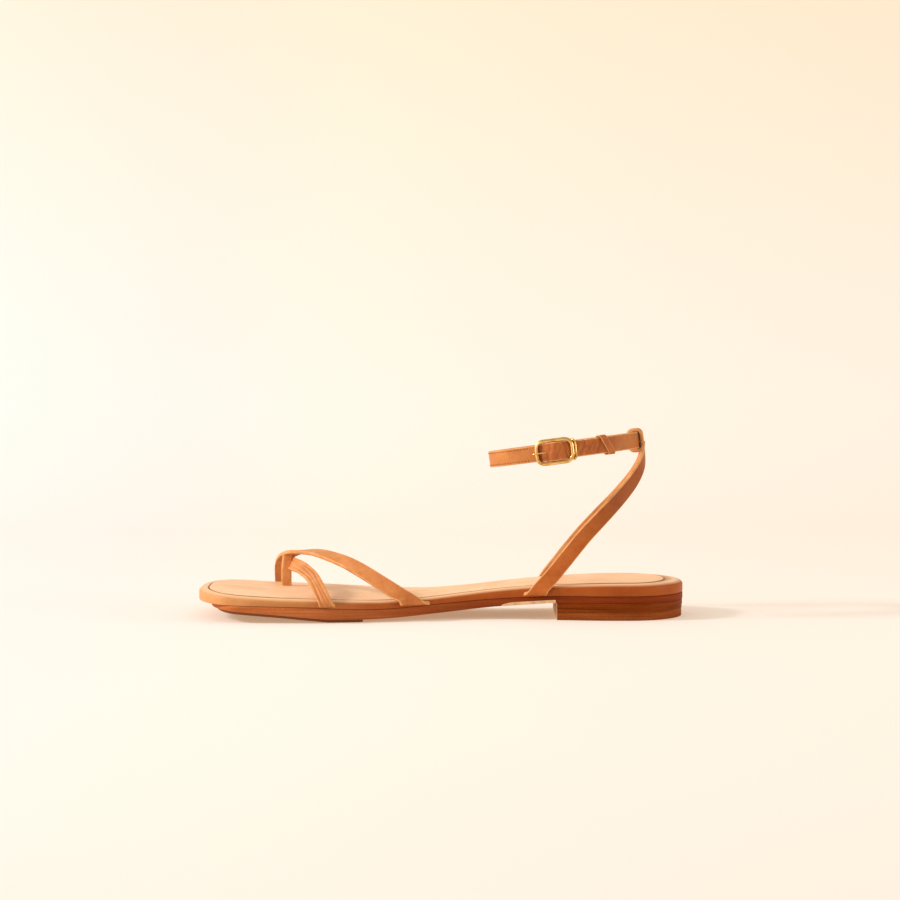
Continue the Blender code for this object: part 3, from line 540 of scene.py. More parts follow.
def sole_outline(inset):
    """Outline of the outsole, drawn in by an inset."""
    return outline(inset, inset, LENGTH - OUTSOLE_TOE - inset)


def tread_outline(inset):
    """Outline of the tread, drawn in by an inset."""
    last = LENGTH - OUTSOLE_TOE - TREAD_INSET - inset
    return outline(TREAD_INSET + inset, TREAD_START + inset, last, heel=False)


rings = loops(sole_outline, "sole", OUTSOLE_FOOT) + loops(sole_outline, "seam", OUTSOLE_SEAM)
dress(layer("outsole_leather", rings, [SOLE_EDGE]), "sole_leather", "outsole")
rings = loops(tread_outline, "sole", TREAD_EDGE, -GAP - TREAD_THICK)
dress(layer("tread", rings, [TREAD]), "tread_rubber", "forefoot_tread")

# %% Heel layers
HEEL_BREAST, HEEL_STATIONS = 66.5, 90
HEEL_SOFT = ((0.12, 0.0), (0.03, 0.03), (0.0, 0.12))
HEEL_LAYERS = {
    "heel_lift_upper": dict(top=8.88, bottom=6.06, inset=0.2, finish=HEEL_STACK, slot="heel_leather"),
    "heel_lift_lower": dict(top=6.04, bottom=4.16, inset=0.4, finish=HEEL_STACK, slot="heel_leather"),
    "heel_top_piece": dict(top=4.14, bottom=0.0, inset=0.6, finish=HEEL_WEAR, slot="heel_rubber"),
}
for node, lift in HEEL_LAYERS.items():
    steps = [(inset, lift["bottom"] + rise) for inset, rise in HEEL_SOFT]
    steps += [(inset, lift["top"] - rise) for inset, rise in reversed(HEEL_SOFT)]
    rings = []
    for inset, height in steps:
        rear = lift["inset"] + inset
        edge = outline(rear, rear, HEEL_BREAST - inset, toe=False, count=HEEL_STATIONS)
        rings.append(ring(edge, height))
    dress(layer(node + "_layer", rings, [lift["finish"], HEEL_FACE], front=1), lift["slot"], node)

# %% [markdown]
# ## Waist tabs
# Under each foot of the sling a slim pale tab lies along the outsole's lower edge, from the heel to the
# waist. It is a thin strip, rounded at its front end, that stands off the edge by a fraction of a millimetre.
# Its pale tone is a painted highlight, for the light that the sole's lower edge catches at the waist. Paint
# on the sole could show it, but it catches the light, so a section of five points is carried along each side
# of the sole.

# %% Waist tabs
TAB_FIRST, TAB_LAST, TAB_HIGH, TAB_OUT, TAB_IN = 67.2, 95.0, 1.6, 0.6, 0.6
TAB_ROUND, TAB_POWER, TAB_TIP, TAB_STATIONS = 8.0, 2.0, 0.2, 40
# Each row: out from the plan's edge, up from the sole's lower edge, share of the tab's height.
TAB_SECTION = ((-TAB_IN, -0.12, 0.0), (TAB_OUT, 0.1, 0.0), (TAB_OUT, 0.0, 0.55), (0.6 * TAB_OUT, 0.0, 1.0),
               (-TAB_IN, 0.0, 1.0))
# The tab's pale tones are a painted highlight.
TAB = leather("waist_tab_painted_highlight", "#BC8E62", "#D2A87C", "#E4C098", mottle=4.0, roughness=0.4)
station = np.linspace(TAB_FIRST, TAB_LAST, TAB_STATIONS)
high = TAB_HIGH * end_round(TAB_LAST - station + TAB_TIP, TAB_ROUND, TAB_POWER)
foot = profile("sole", station)
verts, faces, around = [], [], len(TAB_SECTION)
for column, side in (("lateral", -1), ("medial", 1)):
    width, first = plan(column, station), len(verts) * TAB_STATIONS
    for out, rise, share in TAB_SECTION:
        verts.append(np.column_stack((HALF - station, side * (width + out), foot + rise + share * high)))
    for row in range(around):
        low, above = first + row * TAB_STATIONS, first + (row + 1) % around * TAB_STATIONS
        faces += [(low + i, low + i + 1, above + i + 1, above + i) for i in range(TAB_STATIONS - 1)]
    for end in (0, TAB_STATIONS - 1):
        faces.append(tuple(first + row * TAB_STATIONS + end for row in range(around)))
dress(piece("waist_tabs", np.vstack(verts), faces, [TAB]), "sole_leather")

# %% [markdown]
# ## Straps
# A strap is a flat strip of leather with rounded cut edges: tan grain outside, a pale cut edge and lining
# inside. It could be a curve with a bevel, but a curve twists freely. Here a rounded section is carried along
# the strap's middle line with its own sideways and outward direction at each step, so the strap lies exactly
# where the CAD strap lies and each face knows whether it is grain, edge or lining.

# %% Section of a strap
STRAP_THICK, STRAP_CORNER = 2.0, 0.5
FACE_COLUMNS = 22
CORNER_STEPS = 4
LEVEL = 1e-6
GRAIN_FACE, EDGE_FACE, LINING_FACE, SECOND_FACE = range(4)


def strap_section(half_width, half_thick, corner):
    """Loop of (across share, out in mm, finish) round a strap: grain, edge, lining, edge."""
    flat = 1.0 - corner / half_width
    turns = np.radians(np.linspace(90.0, -90.0, 2 * CORNER_STEPS + 1))[1:-1]
    loop = []
    for way, face in ((1, GRAIN_FACE), (-1, LINING_FACE)):
        loop += [(way * a, way * half_thick, face) for a in np.linspace(-flat, flat, FACE_COLUMNS)]
        for turn in turns:
            rise = math.sin(turn)
            lift = (half_thick - corner) * np.sign(rise) if abs(rise) > LEVEL else 0.0
            reach = flat + corner / half_width * math.cos(turn)
            loop.append((way * reach, way * (lift + corner * rise), EDGE_FACE))
    return loop


print("section points:", len(strap_section(4.0, STRAP_THICK / 2, STRAP_CORNER)))


# %% Strap carried along a path
def run_of(points):
    """Length along a path at each of its points."""
    return np.concatenate(([0.0], np.cumsum(np.linalg.norm(np.diff(points, axis=0), axis=1))))


def heading(points, closed):
    """Direction along a path at each of its points, not yet of unit length."""
    if closed:
        return np.roll(points, -1, axis=0) - np.roll(points, 1, axis=0)
    return np.gradient(points, axis=0)


def sleeve(count, size, closed):
    """Faces between a count of loops of one size along a path, with a cap on each open end."""
    faces = []
    for i in range(count if closed else count - 1):
        j = (i + 1) % count
        for k in range(size):
            n = (k + 1) % size
            faces.append((i * size + k, i * size + n, j * size + n, j * size + k))
    if not closed:
        faces += [tuple(range(size)), tuple(range((count - 1) * size, count * size))]
    return faces


def carry(points, sides, width, thick, out_hint=None, closed=False, skive=None, corner=STRAP_CORNER,
          relief=None, second_from=math.inf):
    """Vertices, faces and finishes of a strap whose section is carried along points."""
    count = len(points)
    out = np.cross(sides, heading(points, closed))
    if out_hint is not None:
        out *= np.sign(np.sum(out * out_hint, axis=1, keepdims=True))
    out /= np.linalg.norm(out, axis=1, keepdims=True)
    skive = np.ones(count) if skive is None else skive
    share, depth, kinds = zip(*strap_section(width / 2, thick / 2, corner))
    share = np.array(share)
    depth = np.array(depth)[None, :] * skive[:, None]
    if relief is not None:
        depth = depth + relief(run_of(points)[:, None], share[None, :] * width / 2, depth)
    verts = points[:, None, :] + sides[:, None, :] * share[None, :, None] + out[:, None, :] * depth[..., None]
    kinds = [kind if kind == after else EDGE_FACE for kind, after in zip(kinds, kinds[1:] + kinds[:1])]
    which = []
    for i in range(count if closed else count - 1):
        which += [SECOND_FACE if kind == GRAIN_FACE and i >= second_from else kind for kind in kinds]
    if not closed:
        which += [EDGE_FACE, EDGE_FACE]
    return verts.reshape(-1, 3), sleeve(count, len(kinds), closed), which


def strap_piece(name, parts, grain, second):
    """One object from several carried straps, with the grain's finish and that of its second stretch."""
    verts, faces = joined(parts)
    which = [finish for part in parts for finish in part[2]]
    return piece(name, verts, faces, [grain, STRAP_EDGE, STRAP_LINING, second], which, crisp=60.0)


print("faces of one step:", len(sleeve(2, len(strap_section(4.0, STRAP_THICK / 2, STRAP_CORNER)), False)) - 2)

# %% [markdown]
# ## Paths of the straps
# Each strap starts hidden under the footbed, turns round its lower edge, runs up its side and leaves in a
# free curve. The tables give the middle line at a few places: station, across, height, and how the strap
# leans and sweeps. The path is read at fine steps, then eased a little where no fold holds it, as tensioned
# leather has no kinks.

# %% Tables of the straps
SIDE_GAP, FOLD, TUCK, TUCK_LIFT, WALL_HOLD = 0.5, 1.6, 4.2, 0.5, 0.35
FOLD_TURNS = (90.0, 60.0, 30.0, 0.0)
ENDS = {
    "instep_outer": dict(station=141.5, side=-1, drift=1.2),
    "instep_inner": dict(station=212.4, side=1, drift=0.0),
    "small_toe": dict(station=184.6, side=-1, drift=0.4),
    "sling_outer": dict(station=76.0, side=-1, drift=-0.85),
    "sling_inner": dict(station=70.6, side=1, drift=-0.65),
}
RUN_COLUMNS = "station across height lean sweep"
HOLD_COLUMN = len(RUN_COLUMNS.split())
INSTEP = table(RUN_COLUMNS, [
    (147.5, -32.3, 14.2, -82, 0), (157.3, -28.8, 19.9, -70, 0), (167.8, -21.5, 25.5, -57, 0),
    (175.8, -13.5, 28.8, -44, 0), (184, -4, 30.8, -30, 0), (192.3, 5, 32, -13, 0), (200.7, 13, 31.5, 4, 0),
    (206, 20, 29.9, 22, 0), (209.6, 27.5, 27.1, 40, 0), (211.7, 35, 23.2, 58, 0), (212.4, 41, 18, 78, 0),
])
SMALL_TOE = table(RUN_COLUMNS, [
    (186.2, -40, 13.8, -80, 0), (188.4, -35.5, 17.4, -68, 0), (190.8, -27.5, 20.2, -55, 0),
    (193, -18.5, 21.9, -43, -6), (196.2, -9, 23.4, -38, -22), (199.8, 3, 24.3, -46, -45),
    (203.3, 12, 24.6, -55, -60), (205.7, 20.9, 24.5, -68, -74),
])
SLING = table(RUN_COLUMNS + " inner_back", [
    (70.1, -26.2, 21.6, -90, 0, 4.2), (60, -27.6, 34.3, -90, 4, 4.3), (52.3, -27.4, 43.8, -90, 9, 4.8),
    (44.6, -25.4, 51.9, -90, 17, 4.7), (34, -19.5, 62.8, -90, 32, 3.6), (26, -12, 72.2, -90, 50, 2.0),
    (21.8, -6, 79.8, -90, 70, 0.75), (20.9, -3, 85, -90, 84, 0.15), (20.9, -1.1, 89.5, -90, 90, -0.15),
])
POST = table("station across height", [(208.4, 20.5, 10.3), (208.4, 20.5, 20), (207.6, 20.5, 29.4)])
print("strap ends:", ", ".join(ENDS))

# %% Path of a strap
STRAP_STEP, NEAR = 0.4, 0.05
EASE_ROUNDS = 50


def steps_of(run):
    """Fine places along a run that keep each of its rows."""
    steps = []
    for begin, end in zip(run, run[1:]):
        parts = max(1, math.ceil((end - begin) / STRAP_STEP))
        steps.append(np.linspace(begin, end, parts, endpoint=False))
    return np.concatenate(steps + [run[-1:]])


def read(columns, run, at):
    """Smooth values of columns at places along a run."""
    return np.column_stack([smooth(run, column, at) for column in columns])


def rows_of(source):
    """Rows of a table's run, none of them held by a fold."""
    columns = [source[name] for name in RUN_COLUMNS.split()]
    return np.column_stack(columns + [np.zeros(len(columns[0]))])


def mirrored(source):
    """Rows of a table's run on the other side of the sole."""
    return rows_of(dict(source, across=-source["across"], lean=-source["lean"]))


def tuck(station, side, drift):
    """Rows of a strap end from its hidden tip, round the footbed's lower edge and up its side."""
    column = "lateral" if side < 0 else "medial"
    reach = SIDE_GAP + STRAP_THICK / 2
    low = TUCK_LIFT + STRAP_THICK / 2
    wall = float(profile("top", station) - profile("seam", station))
    bends = [(-drift * (FOLD * math.pi / 2 + reach - FOLD + TUCK), -TUCK, low, 180.0)]
    for turn in FOLD_TURNS:
        angle = math.radians(turn)
        bends.append((-drift * FOLD * angle, reach - FOLD + FOLD * math.cos(angle),
                      low + FOLD - FOLD * math.sin(angle), 90.0 + turn))
    rise = wall - low - FOLD
    if rise > STRAP_THICK / 2:
        bends.append((drift * rise, reach, wall, 90.0))
    hold = np.where(np.arange(len(bends)) > len(FOLD_TURNS), WALL_HOLD, 1.0)
    rows = []
    for (shift, beyond, lift, lean), held in zip(bends, hold):
        spot = station + shift
        slope = float(plan(column, spot + 1.0) - plan(column, spot - 1.0)) / 2
        rows.append((spot, side * (float(plan(column, spot)) + beyond), float(profile("seam", spot)) + lift,
                     side * lean, math.degrees(math.atan(slope)), held))
    return np.array(rows)


def eased(values, hold):
    """Values along a strap with small kinks taken out where no fold holds it."""
    free = np.clip(1.0 - hold, 0.0, 1.0)[:, None]
    free[:2] = 0.0
    free[-2:] = 0.0
    for _ in range(EASE_ROUNDS):
        mean = values.copy()
        mean[1:-1] = (values[:-2] + 2 * values[1:-1] + values[2:]) / 4
        values = values + (mean - values) * free
    return values


def strap_path(rows, width):
    """Middle points of a strap and half its width sideways, from its rows."""
    station, across, height, lean, sweep, hold = rows.T
    spots = np.column_stack((HALF - station, across, height))
    run = run_of(spots)
    at = steps_of(run)
    points = read(spots.T, run, at)
    lean, sweep, hold = read((np.radians(lean), np.radians(sweep), hold), run, at).T
    face = np.column_stack((np.abs(np.sin(lean)) * np.sin(sweep), np.sin(lean) * np.cos(sweep), np.cos(lean)))
    ahead = read(spots.T, run, at + NEAR) - read(spots.T, run, at - NEAR)
    ahead /= np.linalg.norm(ahead, axis=1, keepdims=True)
    sides = np.cross(ahead, face)
    sides /= np.linalg.norm(sides, axis=1, keepdims=True)
    rim = np.column_stack((np.cos(sweep), -np.sign(lean) * np.sin(sweep), np.zeros(len(at))))
    rim *= np.sign(np.sum(rim * sides, axis=1, keepdims=True))
    rule = sides * (1 - hold[:, None]) + rim * hold[:, None]
    sides = rule / np.sum(rule * sides, axis=1, keepdims=True) * width / 2
    return eased(points, hold), eased(sides, hold)


print("strap paths are read every", STRAP_STEP, "mm and eased in", EASE_ROUNDS, "rounds")

# %% [markdown]
# ## Front straps
# The instep strap crosses the foot from the outer waist to the inner toe. The small-toe strap and the toe
# post join it at its crown. On the real sandal the small-toe strap is gathered, which leaves a few long soft
# furrows, so its section gets shallow troughs that run with it. The first free row of the instep strap is
# half held, so that its foot turns over a longer run.

# %% Front straps
INSTEP_WIDTH, SMALL_TOE_WIDTH = 7.5, 7.0
INSTEP_HOLD = 0.55
POST_WIDTH, POST_THICK, POST_CORNER = 5.5, 3.6, 1.2
FURROWS = table("across depth width", [(-1.7, 0.42, 0.5), (0.1, 0.34, 0.42), (1.8, 0.42, 0.5)])
FURROW_WANDER, FURROW_LONG = 0.35, 7.0


def furrows(along, across, depth):
    """Long troughs in the outer face that wander a little."""
    drop = np.zeros(np.broadcast_shapes(along.shape, across.shape))
    for spot, deep, wide in zip(*FURROWS.values()):
        path = spot + FURROW_WANDER * np.sin(along / FURROW_LONG + spot)
        drop -= deep * np.exp(-((across - path) / wide) ** 2)
    return np.where(depth > 0, drop, 0.0)


foot = tuck(**ENDS["instep_outer"])
rows = np.vstack((foot, rows_of(INSTEP), tuck(**ENDS["instep_inner"])[::-1]))
rows[len(foot), HOLD_COLUMN] = INSTEP_HOLD
instep = carry(*strap_path(rows, INSTEP_WIDTH), INSTEP_WIDTH, STRAP_THICK)
rows = np.vstack((tuck(**ENDS["small_toe"]), rows_of(SMALL_TOE)))
small_toe = carry(*strap_path(rows, SMALL_TOE_WIDTH), SMALL_TOE_WIDTH, STRAP_THICK, relief=furrows)
spots = np.column_stack((HALF - POST["station"], POST["across"], POST["height"]))
run = run_of(spots)
points = read(spots.T, run, steps_of(run))
sides = np.tile((POST_WIDTH / 2, 0.0, 0.0), (len(points), 1))
post = carry(points, sides, POST_WIDTH, POST_THICK, corner=POST_CORNER)
front = strap_piece("front_strap_leather", [instep, small_toe, post], STRAP_GRAIN, STRAP_GRAIN)
dress(front, "strap_leather", "front_straps")

# %% [markdown]
# ## Heel sling
# Two straps rise from the sole's sides, lean back and meet behind the heel, where they end in a loop that
# holds the ankle strap. The inner strap is the outer one's mirror image, set back by up to 5 mm, most in its
# lower half. The loop takes the ankle strap's finish.

# %% Heel sling with its loop
SLING_WIDTH = 8.0
RING_STATION, RING_HEIGHT = 61.0, 86.35
RING_TILT = (-2.9, -7.5, 0.0)
RING_LONG, RING_WIDE = 37.5, 27.7
ANKLE_WIDTH = 8.5
LOOP_FRONT, LOOP_WIDTH, LOOP_THICK, LOOP_CORNER = -3.7, 10.0, 2.0, 2.0
LOOP_SNUG, LOOP_EDGE = 0.25, 0.8
CORNER_POINTS = 12
ring_frame = (Matrix.Translation((HALF - RING_STATION, 0.0, RING_HEIGHT))
              @ Euler([math.radians(a) for a in RING_TILT]).to_matrix().to_4x4())


def placed(points):
    """Points of the ankle ring's own frame, in the sandal's frame."""
    turn = np.array(ring_frame)
    return np.asarray(points) @ turn[:3, :3].T + turn[:3, 3]


def turned(directions):
    """Directions of the ankle ring's own frame, in the sandal's frame."""
    return np.asarray(directions) @ np.array(ring_frame)[:3, :3].T


def rounded_box(half_long, half_high, corner):
    """Even points round a rectangle with rounded corners."""
    spots = []
    for quarter, (u, v) in enumerate(((1, 1), (-1, 1), (-1, -1), (1, -1))):
        for step in np.linspace(0.0, 90.0, CORNER_POINTS):
            angle = math.radians(90.0 * quarter + step)
            spots.append((u * (half_long - corner) + corner * math.cos(angle),
                          v * (half_high - corner) + corner * math.sin(angle)))
    return np.array(spots)


rows = np.vstack((tuck(**ENDS["sling_outer"]), rows_of(SLING)))
outer_leg = carry(*strap_path(rows, SLING_WIDTH), SLING_WIDTH, STRAP_THICK)
free = dict(SLING, station=SLING["station"] - SLING["inner_back"])
rows = np.vstack((tuck(**ENDS["sling_inner"]), mirrored(free)))
inner_leg = carry(*strap_path(rows, SLING_WIDTH), SLING_WIDTH, STRAP_THICK)
clear = GAP + LOOP_THICK / 2
rear = RING_LONG + STRAP_THICK / 2 + clear
front_at = RING_LONG + LOOP_FRONT
path = rounded_box((rear - front_at) / 2, ANKLE_WIDTH / 2 + clear - LOOP_SNUG, LOOP_CORNER)
points = placed(np.column_stack((path[:, 0] + (rear + front_at) / 2, np.zeros(len(path)), path[:, 1])))
sides = np.tile(turned((0.0, LOOP_WIDTH / 2, 0.0)), (len(points), 1))
loop = carry(points, sides, LOOP_WIDTH, LOOP_THICK, out_hint=points - points.mean(axis=0), closed=True,
             corner=LOOP_EDGE, second_from=0)
sling = strap_piece("heel_sling_leather", [outer_leg, inner_leg, loop], SLING_GRAIN, ANKLE_GRAIN)
dress(sling, "strap_leather", "heel_sling")

# %% [markdown]
# ## Ankle strap
# The ankle strap goes once round the ankle. One end is folded over the buckle's centre bar, the other comes
# back outside it as the tail. The path is measured along the ring and outwards from it, so that both layers
# follow the same oval. Leather that is bent through a buckle keeps soft cross creases, which are shaped here
# as shallow slanted troughs, each with a low lip beside it.

# %% Path round the ankle
RING_LEAD, RING_SWEEP, RING_SAMPLES = 60.0, 540.0, 2884
BUCKLE_ANGLE = 100.0
SECOND_LAYER = STRAP_THICK + GAP
RING_TURN = np.radians(BUCKLE_ANGLE + RING_LEAD - np.linspace(0.0, RING_SWEEP, RING_SAMPLES))
RING_CURVE = np.column_stack((RING_LONG * np.cos(RING_TURN), -RING_WIDE * np.sin(RING_TURN)))
RING_RUN = run_of(RING_CURVE)
RING_RUN = RING_RUN - np.interp(-math.radians(BUCKLE_ANGLE), -RING_TURN, RING_RUN)
RING_ROUND = np.interp(2 * math.pi - math.radians(BUCKLE_ANGLE), -RING_TURN, RING_RUN)
BUCKLE_END = table("along out skive", [
    (3.4, 2.2, 0.6), (1.6, 2.9, 0.6), (0, 3.2, 0.6), (-1.13, 2.73, 0.6), (-1.6, 1.6, 0.6), (-1.13, 0.47, 0.6),
    (0, 0, 0.6), (3, 0, 0.8), (6, 0, 1), (70, 0, 1), (130, 0.8, 1), (170, 2, 1),
])
TAIL = table("along out skive", [
    (-16, SECOND_LAYER, 1), (-8.8, SECOND_LAYER, 1), (-4.5, 3.9, 1), (0, 5.15, 1), (4.5, 3.9, 1),
    (8.8, SECOND_LAYER, 1), (12, SECOND_LAYER, 1), (29.5, SECOND_LAYER, 1),
])
TAIL_SLANT = 1.4


def ring_axes(along):
    """Place on the ring, its direction to the heel and its outward direction, in the ring's plane."""
    turn = np.interp(along, RING_RUN, RING_TURN)
    spot = np.stack((RING_LONG * np.cos(turn), -RING_WIDE * np.sin(turn)), axis=-1)
    ahead = np.stack((RING_LONG * np.sin(turn), RING_WIDE * np.cos(turn)), axis=-1)
    ahead /= np.linalg.norm(ahead, axis=-1, keepdims=True)
    return spot, ahead, np.stack((ahead[..., 1], -ahead[..., 0]), axis=-1)


def ring_spot(along, out, up):
    """Points given along the ring, outwards from it and up across the strap, in the sandal's frame."""
    along, out, up = np.broadcast_arrays(along, out, up)
    spot, _, outward = ring_axes(along)
    flat = spot + outward * np.asarray(out, float)[..., None]
    return placed(np.concatenate((flat, np.asarray(up, float)[..., None]), axis=-1))


print("ankle strap goes round in", round(float(RING_ROUND), 1), "mm")

# %% Ankle strap with its creases
CREASES = table("along depth width slant", [
    (-6.4, 0.50, 0.6, 0.1), (-4.4, 0.45, 0.5, -0.8), (-2.0, 0.35, 0.8, 0.5), (1.8, 0.45, 0.9, 0.3),
    (5.4, 0.45, 0.6, -0.4), (13.4, 0.50, 0.8, 0.9), (17.0, 0.35, 0.6, 1.5), (19.2, 0.30, 0.5, 0.5),
    (21.8, 0.45, 0.9, 1.0),
])
CREASE_SLANT, CREASE_BOW, CREASE_LIP, CREASE_LIP_AWAY = 0.5, 0.3, 0.35, 1.6
FRAME_FILL, FRAME_FILL_LONG = 0.15, 6.5
TAIL_LEAD = 8.0
along = np.concatenate((BUCKLE_END["along"], TAIL["along"] + RING_ROUND))
out = np.concatenate((BUCKLE_END["out"], TAIL["out"]))
skive = np.concatenate((BUCKLE_END["skive"], TAIL["skive"]))
run = run_of(np.column_stack((along, out)))
along, out, skive = read((along, out, skive), run, steps_of(run)).T
points = ring_spot(along, out, 0.0)
sides = np.tile(turned((0.0, 0.0, ANKLE_WIDTH / 2)), (len(points), 1))
_, ahead, _ = ring_axes(along[-1])
sides[-1] += turned((*(-ahead * TAIL_SLANT), 0.0))
sides *= 1.0 + FRAME_FILL * np.exp(-((along - RING_ROUND) / FRAME_FILL_LONG) ** 4)[:, None]
ankle_along, ankle_points, ankle_sides = along, points, sides


def creases(run_at, across, depth):
    """Slanted cross troughs near the buckle, in the tail's outer face."""
    place_at = np.interp(run_at, run_of(ankle_points), ankle_along) - RING_ROUND
    drop = np.zeros(np.broadcast_shapes(run_at.shape, across.shape))
    for spot, deep, wide, slant in zip(*CREASES.values()):
        bow = place_at - spot - slant * across * CREASE_SLANT - CREASE_BOW * np.sin(across)
        lip = CREASE_LIP * deep * np.exp(-((bow - CREASE_LIP_AWAY * wide) / wide) ** 2)
        drop -= deep * np.exp(-(bow / wide) ** 2) - lip
    return np.where(depth > 0, drop, 0.0)


turn_out = np.cross(np.gradient(points, axis=0), sides)
ankle = carry(points, sides, ANKLE_WIDTH, STRAP_THICK, out_hint=turn_out, skive=skive, relief=creases,
              second_from=int(np.searchsorted(along, RING_ROUND - TAIL_LEAD)))
dress(strap_piece("ankle_strap_leather", [ankle], ANKLE_GRAIN, TAIL_GRAIN), "strap_leather", "ankle_strap")

# %% [markdown]
# ## Leather keeper
# A narrow leather band holds the tail, slanted as it is drawn tight. It is a thin strap whose path is a
# rounded box round both layers of the ankle strap.

# %% Leather keeper
KEEPER_ALONG, KEEPER_THICK, KEEPER_WIDTH, KEEPER_LEAN, KEEPER_CORNER = 26.0, 0.7, 3.8, 0.4, 1.3
KEEPER_EDGE = 0.3


def band_box(thick, corner):
    """Path round both layers of the ankle strap, as out and up."""
    away = GAP + thick / 2
    box = rounded_box((STRAP_THICK + SECOND_LAYER) / 2 + away, ANKLE_WIDTH / 2 + away, corner)
    return box + np.array((SECOND_LAYER / 2, 0.0))


path = band_box(KEEPER_THICK, KEEPER_CORNER)
points = ring_spot(KEEPER_ALONG - KEEPER_LEAN * path[:, 1], path[:, 0], path[:, 1])
_, ahead, _ = ring_axes(KEEPER_ALONG)
sides = np.tile(turned((*(ahead * KEEPER_WIDTH / 2), 0.0)), (len(points), 1))
band = carry(points, sides, KEEPER_WIDTH, KEEPER_THICK, out_hint=points - points.mean(axis=0), closed=True,
             corner=KEEPER_EDGE)
dress(strap_piece("strap_keeper_leather", [band], TAIL_GRAIN, TAIL_GRAIN), "strap_leather", "strap_keeper")

# %% [markdown]
# ## Buckle
# The buckle is bent brass wire: a rounded frame, a centre bar that the strap folds over, a tapered prong and
# a slim wire loop behind the frame. Curves with a round bevel would do, but the straps already have what is
# needed, so each wire is a round tube carried along its path, with a taper for the prong.

# %% Brass buckle
BAR_RADIUS, BAR_OUT = 0.7, 1.6
FRAME_RADIUS, FRAME_OUT, FRAME_LONG, FRAME_HIGH, FRAME_CORNER = 1.0, 4.7, 8.4, 5.8, 3.6
PRONG_RADIUS = 0.5
PRONG_RING = BAR_RADIUS + GAP + PRONG_RADIUS
PRONG_CURL = np.radians(np.linspace(-170.0, 90.0, 25))
PRONG_ARM = table("along out", [
    (-1.8, 3.2), (-3.4, 4.4), (-4.8, 5.75), (-6.6, 6.45), (-8.6, 6.5), (-9.9, 6.45),
])
PRONG_TAPER = table("share size", [(0, 1), (0.75, 1), (0.97, 0.62), (1, 0.3)])
WIRE_KEEPER_ALONG, WIRE_KEEPER_BOW, WIRE_KEEPER_RADIUS = 11.4, 2.4, 0.6
WIRE_SIDES, WIRE_STEP, WIRE_UP = 16, 0.35, (0.3, 0.2, 0.9)


def tube(points, radius, closed=False, around=WIRE_SIDES):
    """Vertices and faces of a round wire along points, its radius given at each."""
    count = len(points)
    radius = np.broadcast_to(radius, count)
    ahead = heading(points, closed)
    ahead /= np.linalg.norm(ahead, axis=1, keepdims=True)
    up = np.cross(ahead[0], turned(WIRE_UP))
    verts = []
    angles = np.linspace(0.0, 2 * math.pi, around, endpoint=False)
    for spot, way, thick in zip(points, ahead, radius):
        up = up - way * np.dot(up, way)
        up /= np.linalg.norm(up)
        across = np.cross(way, up)
        verts.append(spot + thick * (np.cos(angles)[:, None] * up + np.sin(angles)[:, None] * across))
    return np.vstack(verts), sleeve(count, around, closed)


def wire_piece(name, parts, finish):
    """One object from several wires."""
    return piece(name, *joined(parts), [finish], crisp=50.0)


def even(columns):
    """Columns of a path read at even fine steps."""
    columns = np.asarray(columns, float)
    run = run_of(columns.T)
    return read(columns, run, np.linspace(0.0, run[-1], max(2, int(run[-1] / WIRE_STEP)))).T


box = rounded_box(FRAME_LONG, FRAME_HIGH, FRAME_CORNER)
frame_wire = tube(ring_spot(box[:, 0], FRAME_OUT, box[:, 1]), FRAME_RADIUS, closed=True)
drop_out = np.array((FRAME_OUT, (FRAME_OUT + BAR_OUT) / 2, BAR_OUT))
drop_up = np.array((FRAME_HIGH, FRAME_HIGH - GAP, FRAME_HIGH - BAR_RADIUS - GAP))
bar_out = np.concatenate((drop_out, drop_out[::-1]))
bar_up = np.concatenate((drop_up, -drop_up[::-1]))
bar_wire = tube(ring_spot(0.0, *even((bar_out, bar_up))), BAR_RADIUS)
dress(wire_piece("buckle_frame_brass", [frame_wire, bar_wire], BRASS), "brass", "buckle_frame")

prong_along = np.concatenate((PRONG_RING * np.cos(PRONG_CURL), PRONG_ARM["along"]))
prong_out = np.concatenate((BAR_OUT + PRONG_RING * np.sin(PRONG_CURL), PRONG_ARM["out"]))
prong_along, prong_out = even((prong_along, prong_out))
share = np.linspace(0, 1, len(prong_along))
taper = PRONG_RADIUS * np.interp(share, PRONG_TAPER["share"], PRONG_TAPER["size"])
prong = tube(ring_spot(prong_along, prong_out, 0.0), taper)
dress(wire_piece("buckle_prong_brass", [prong], BRASS), "brass", "buckle_prong")

path = band_box(2 * WIRE_KEEPER_RADIUS, KEEPER_CORNER)
bow = WIRE_KEEPER_ALONG - WIRE_KEEPER_BOW * (path[:, 1] / path[:, 1].max()) ** 2
keeper = tube(ring_spot(bow, path[:, 0], path[:, 1]), WIRE_KEEPER_RADIUS, closed=True)
dress(wire_piece("buckle_keeper_brass", [keeper], BRASS), "brass", "buckle_keeper")

# %% [markdown]
# ## Stitches
# Thread shows as short raised dashes that dip into the leather at both ends. Bump in the leather could draw
# them, but real meshes keep their shape close up, so each dash is a small tube bent into a low arch. Two rows
# follow the edges of the ankle strap.

# %% Rows of stitches
STITCH_PITCH, STITCH_LONG, STITCH_RADIUS, STITCH_SIDES = 1.8, 1.2, 0.2, 6
STITCH_TAPER = np.array((0.6, 0.9, 1, 1, 1, 0.9, 0.6))
STITCH_LIFT, STITCH_DIP, STITCH_ACROSS = 0.08, 1.6, 0.72
SEWN_FIRST, SEWN_LEAD = 52.0, 10.5


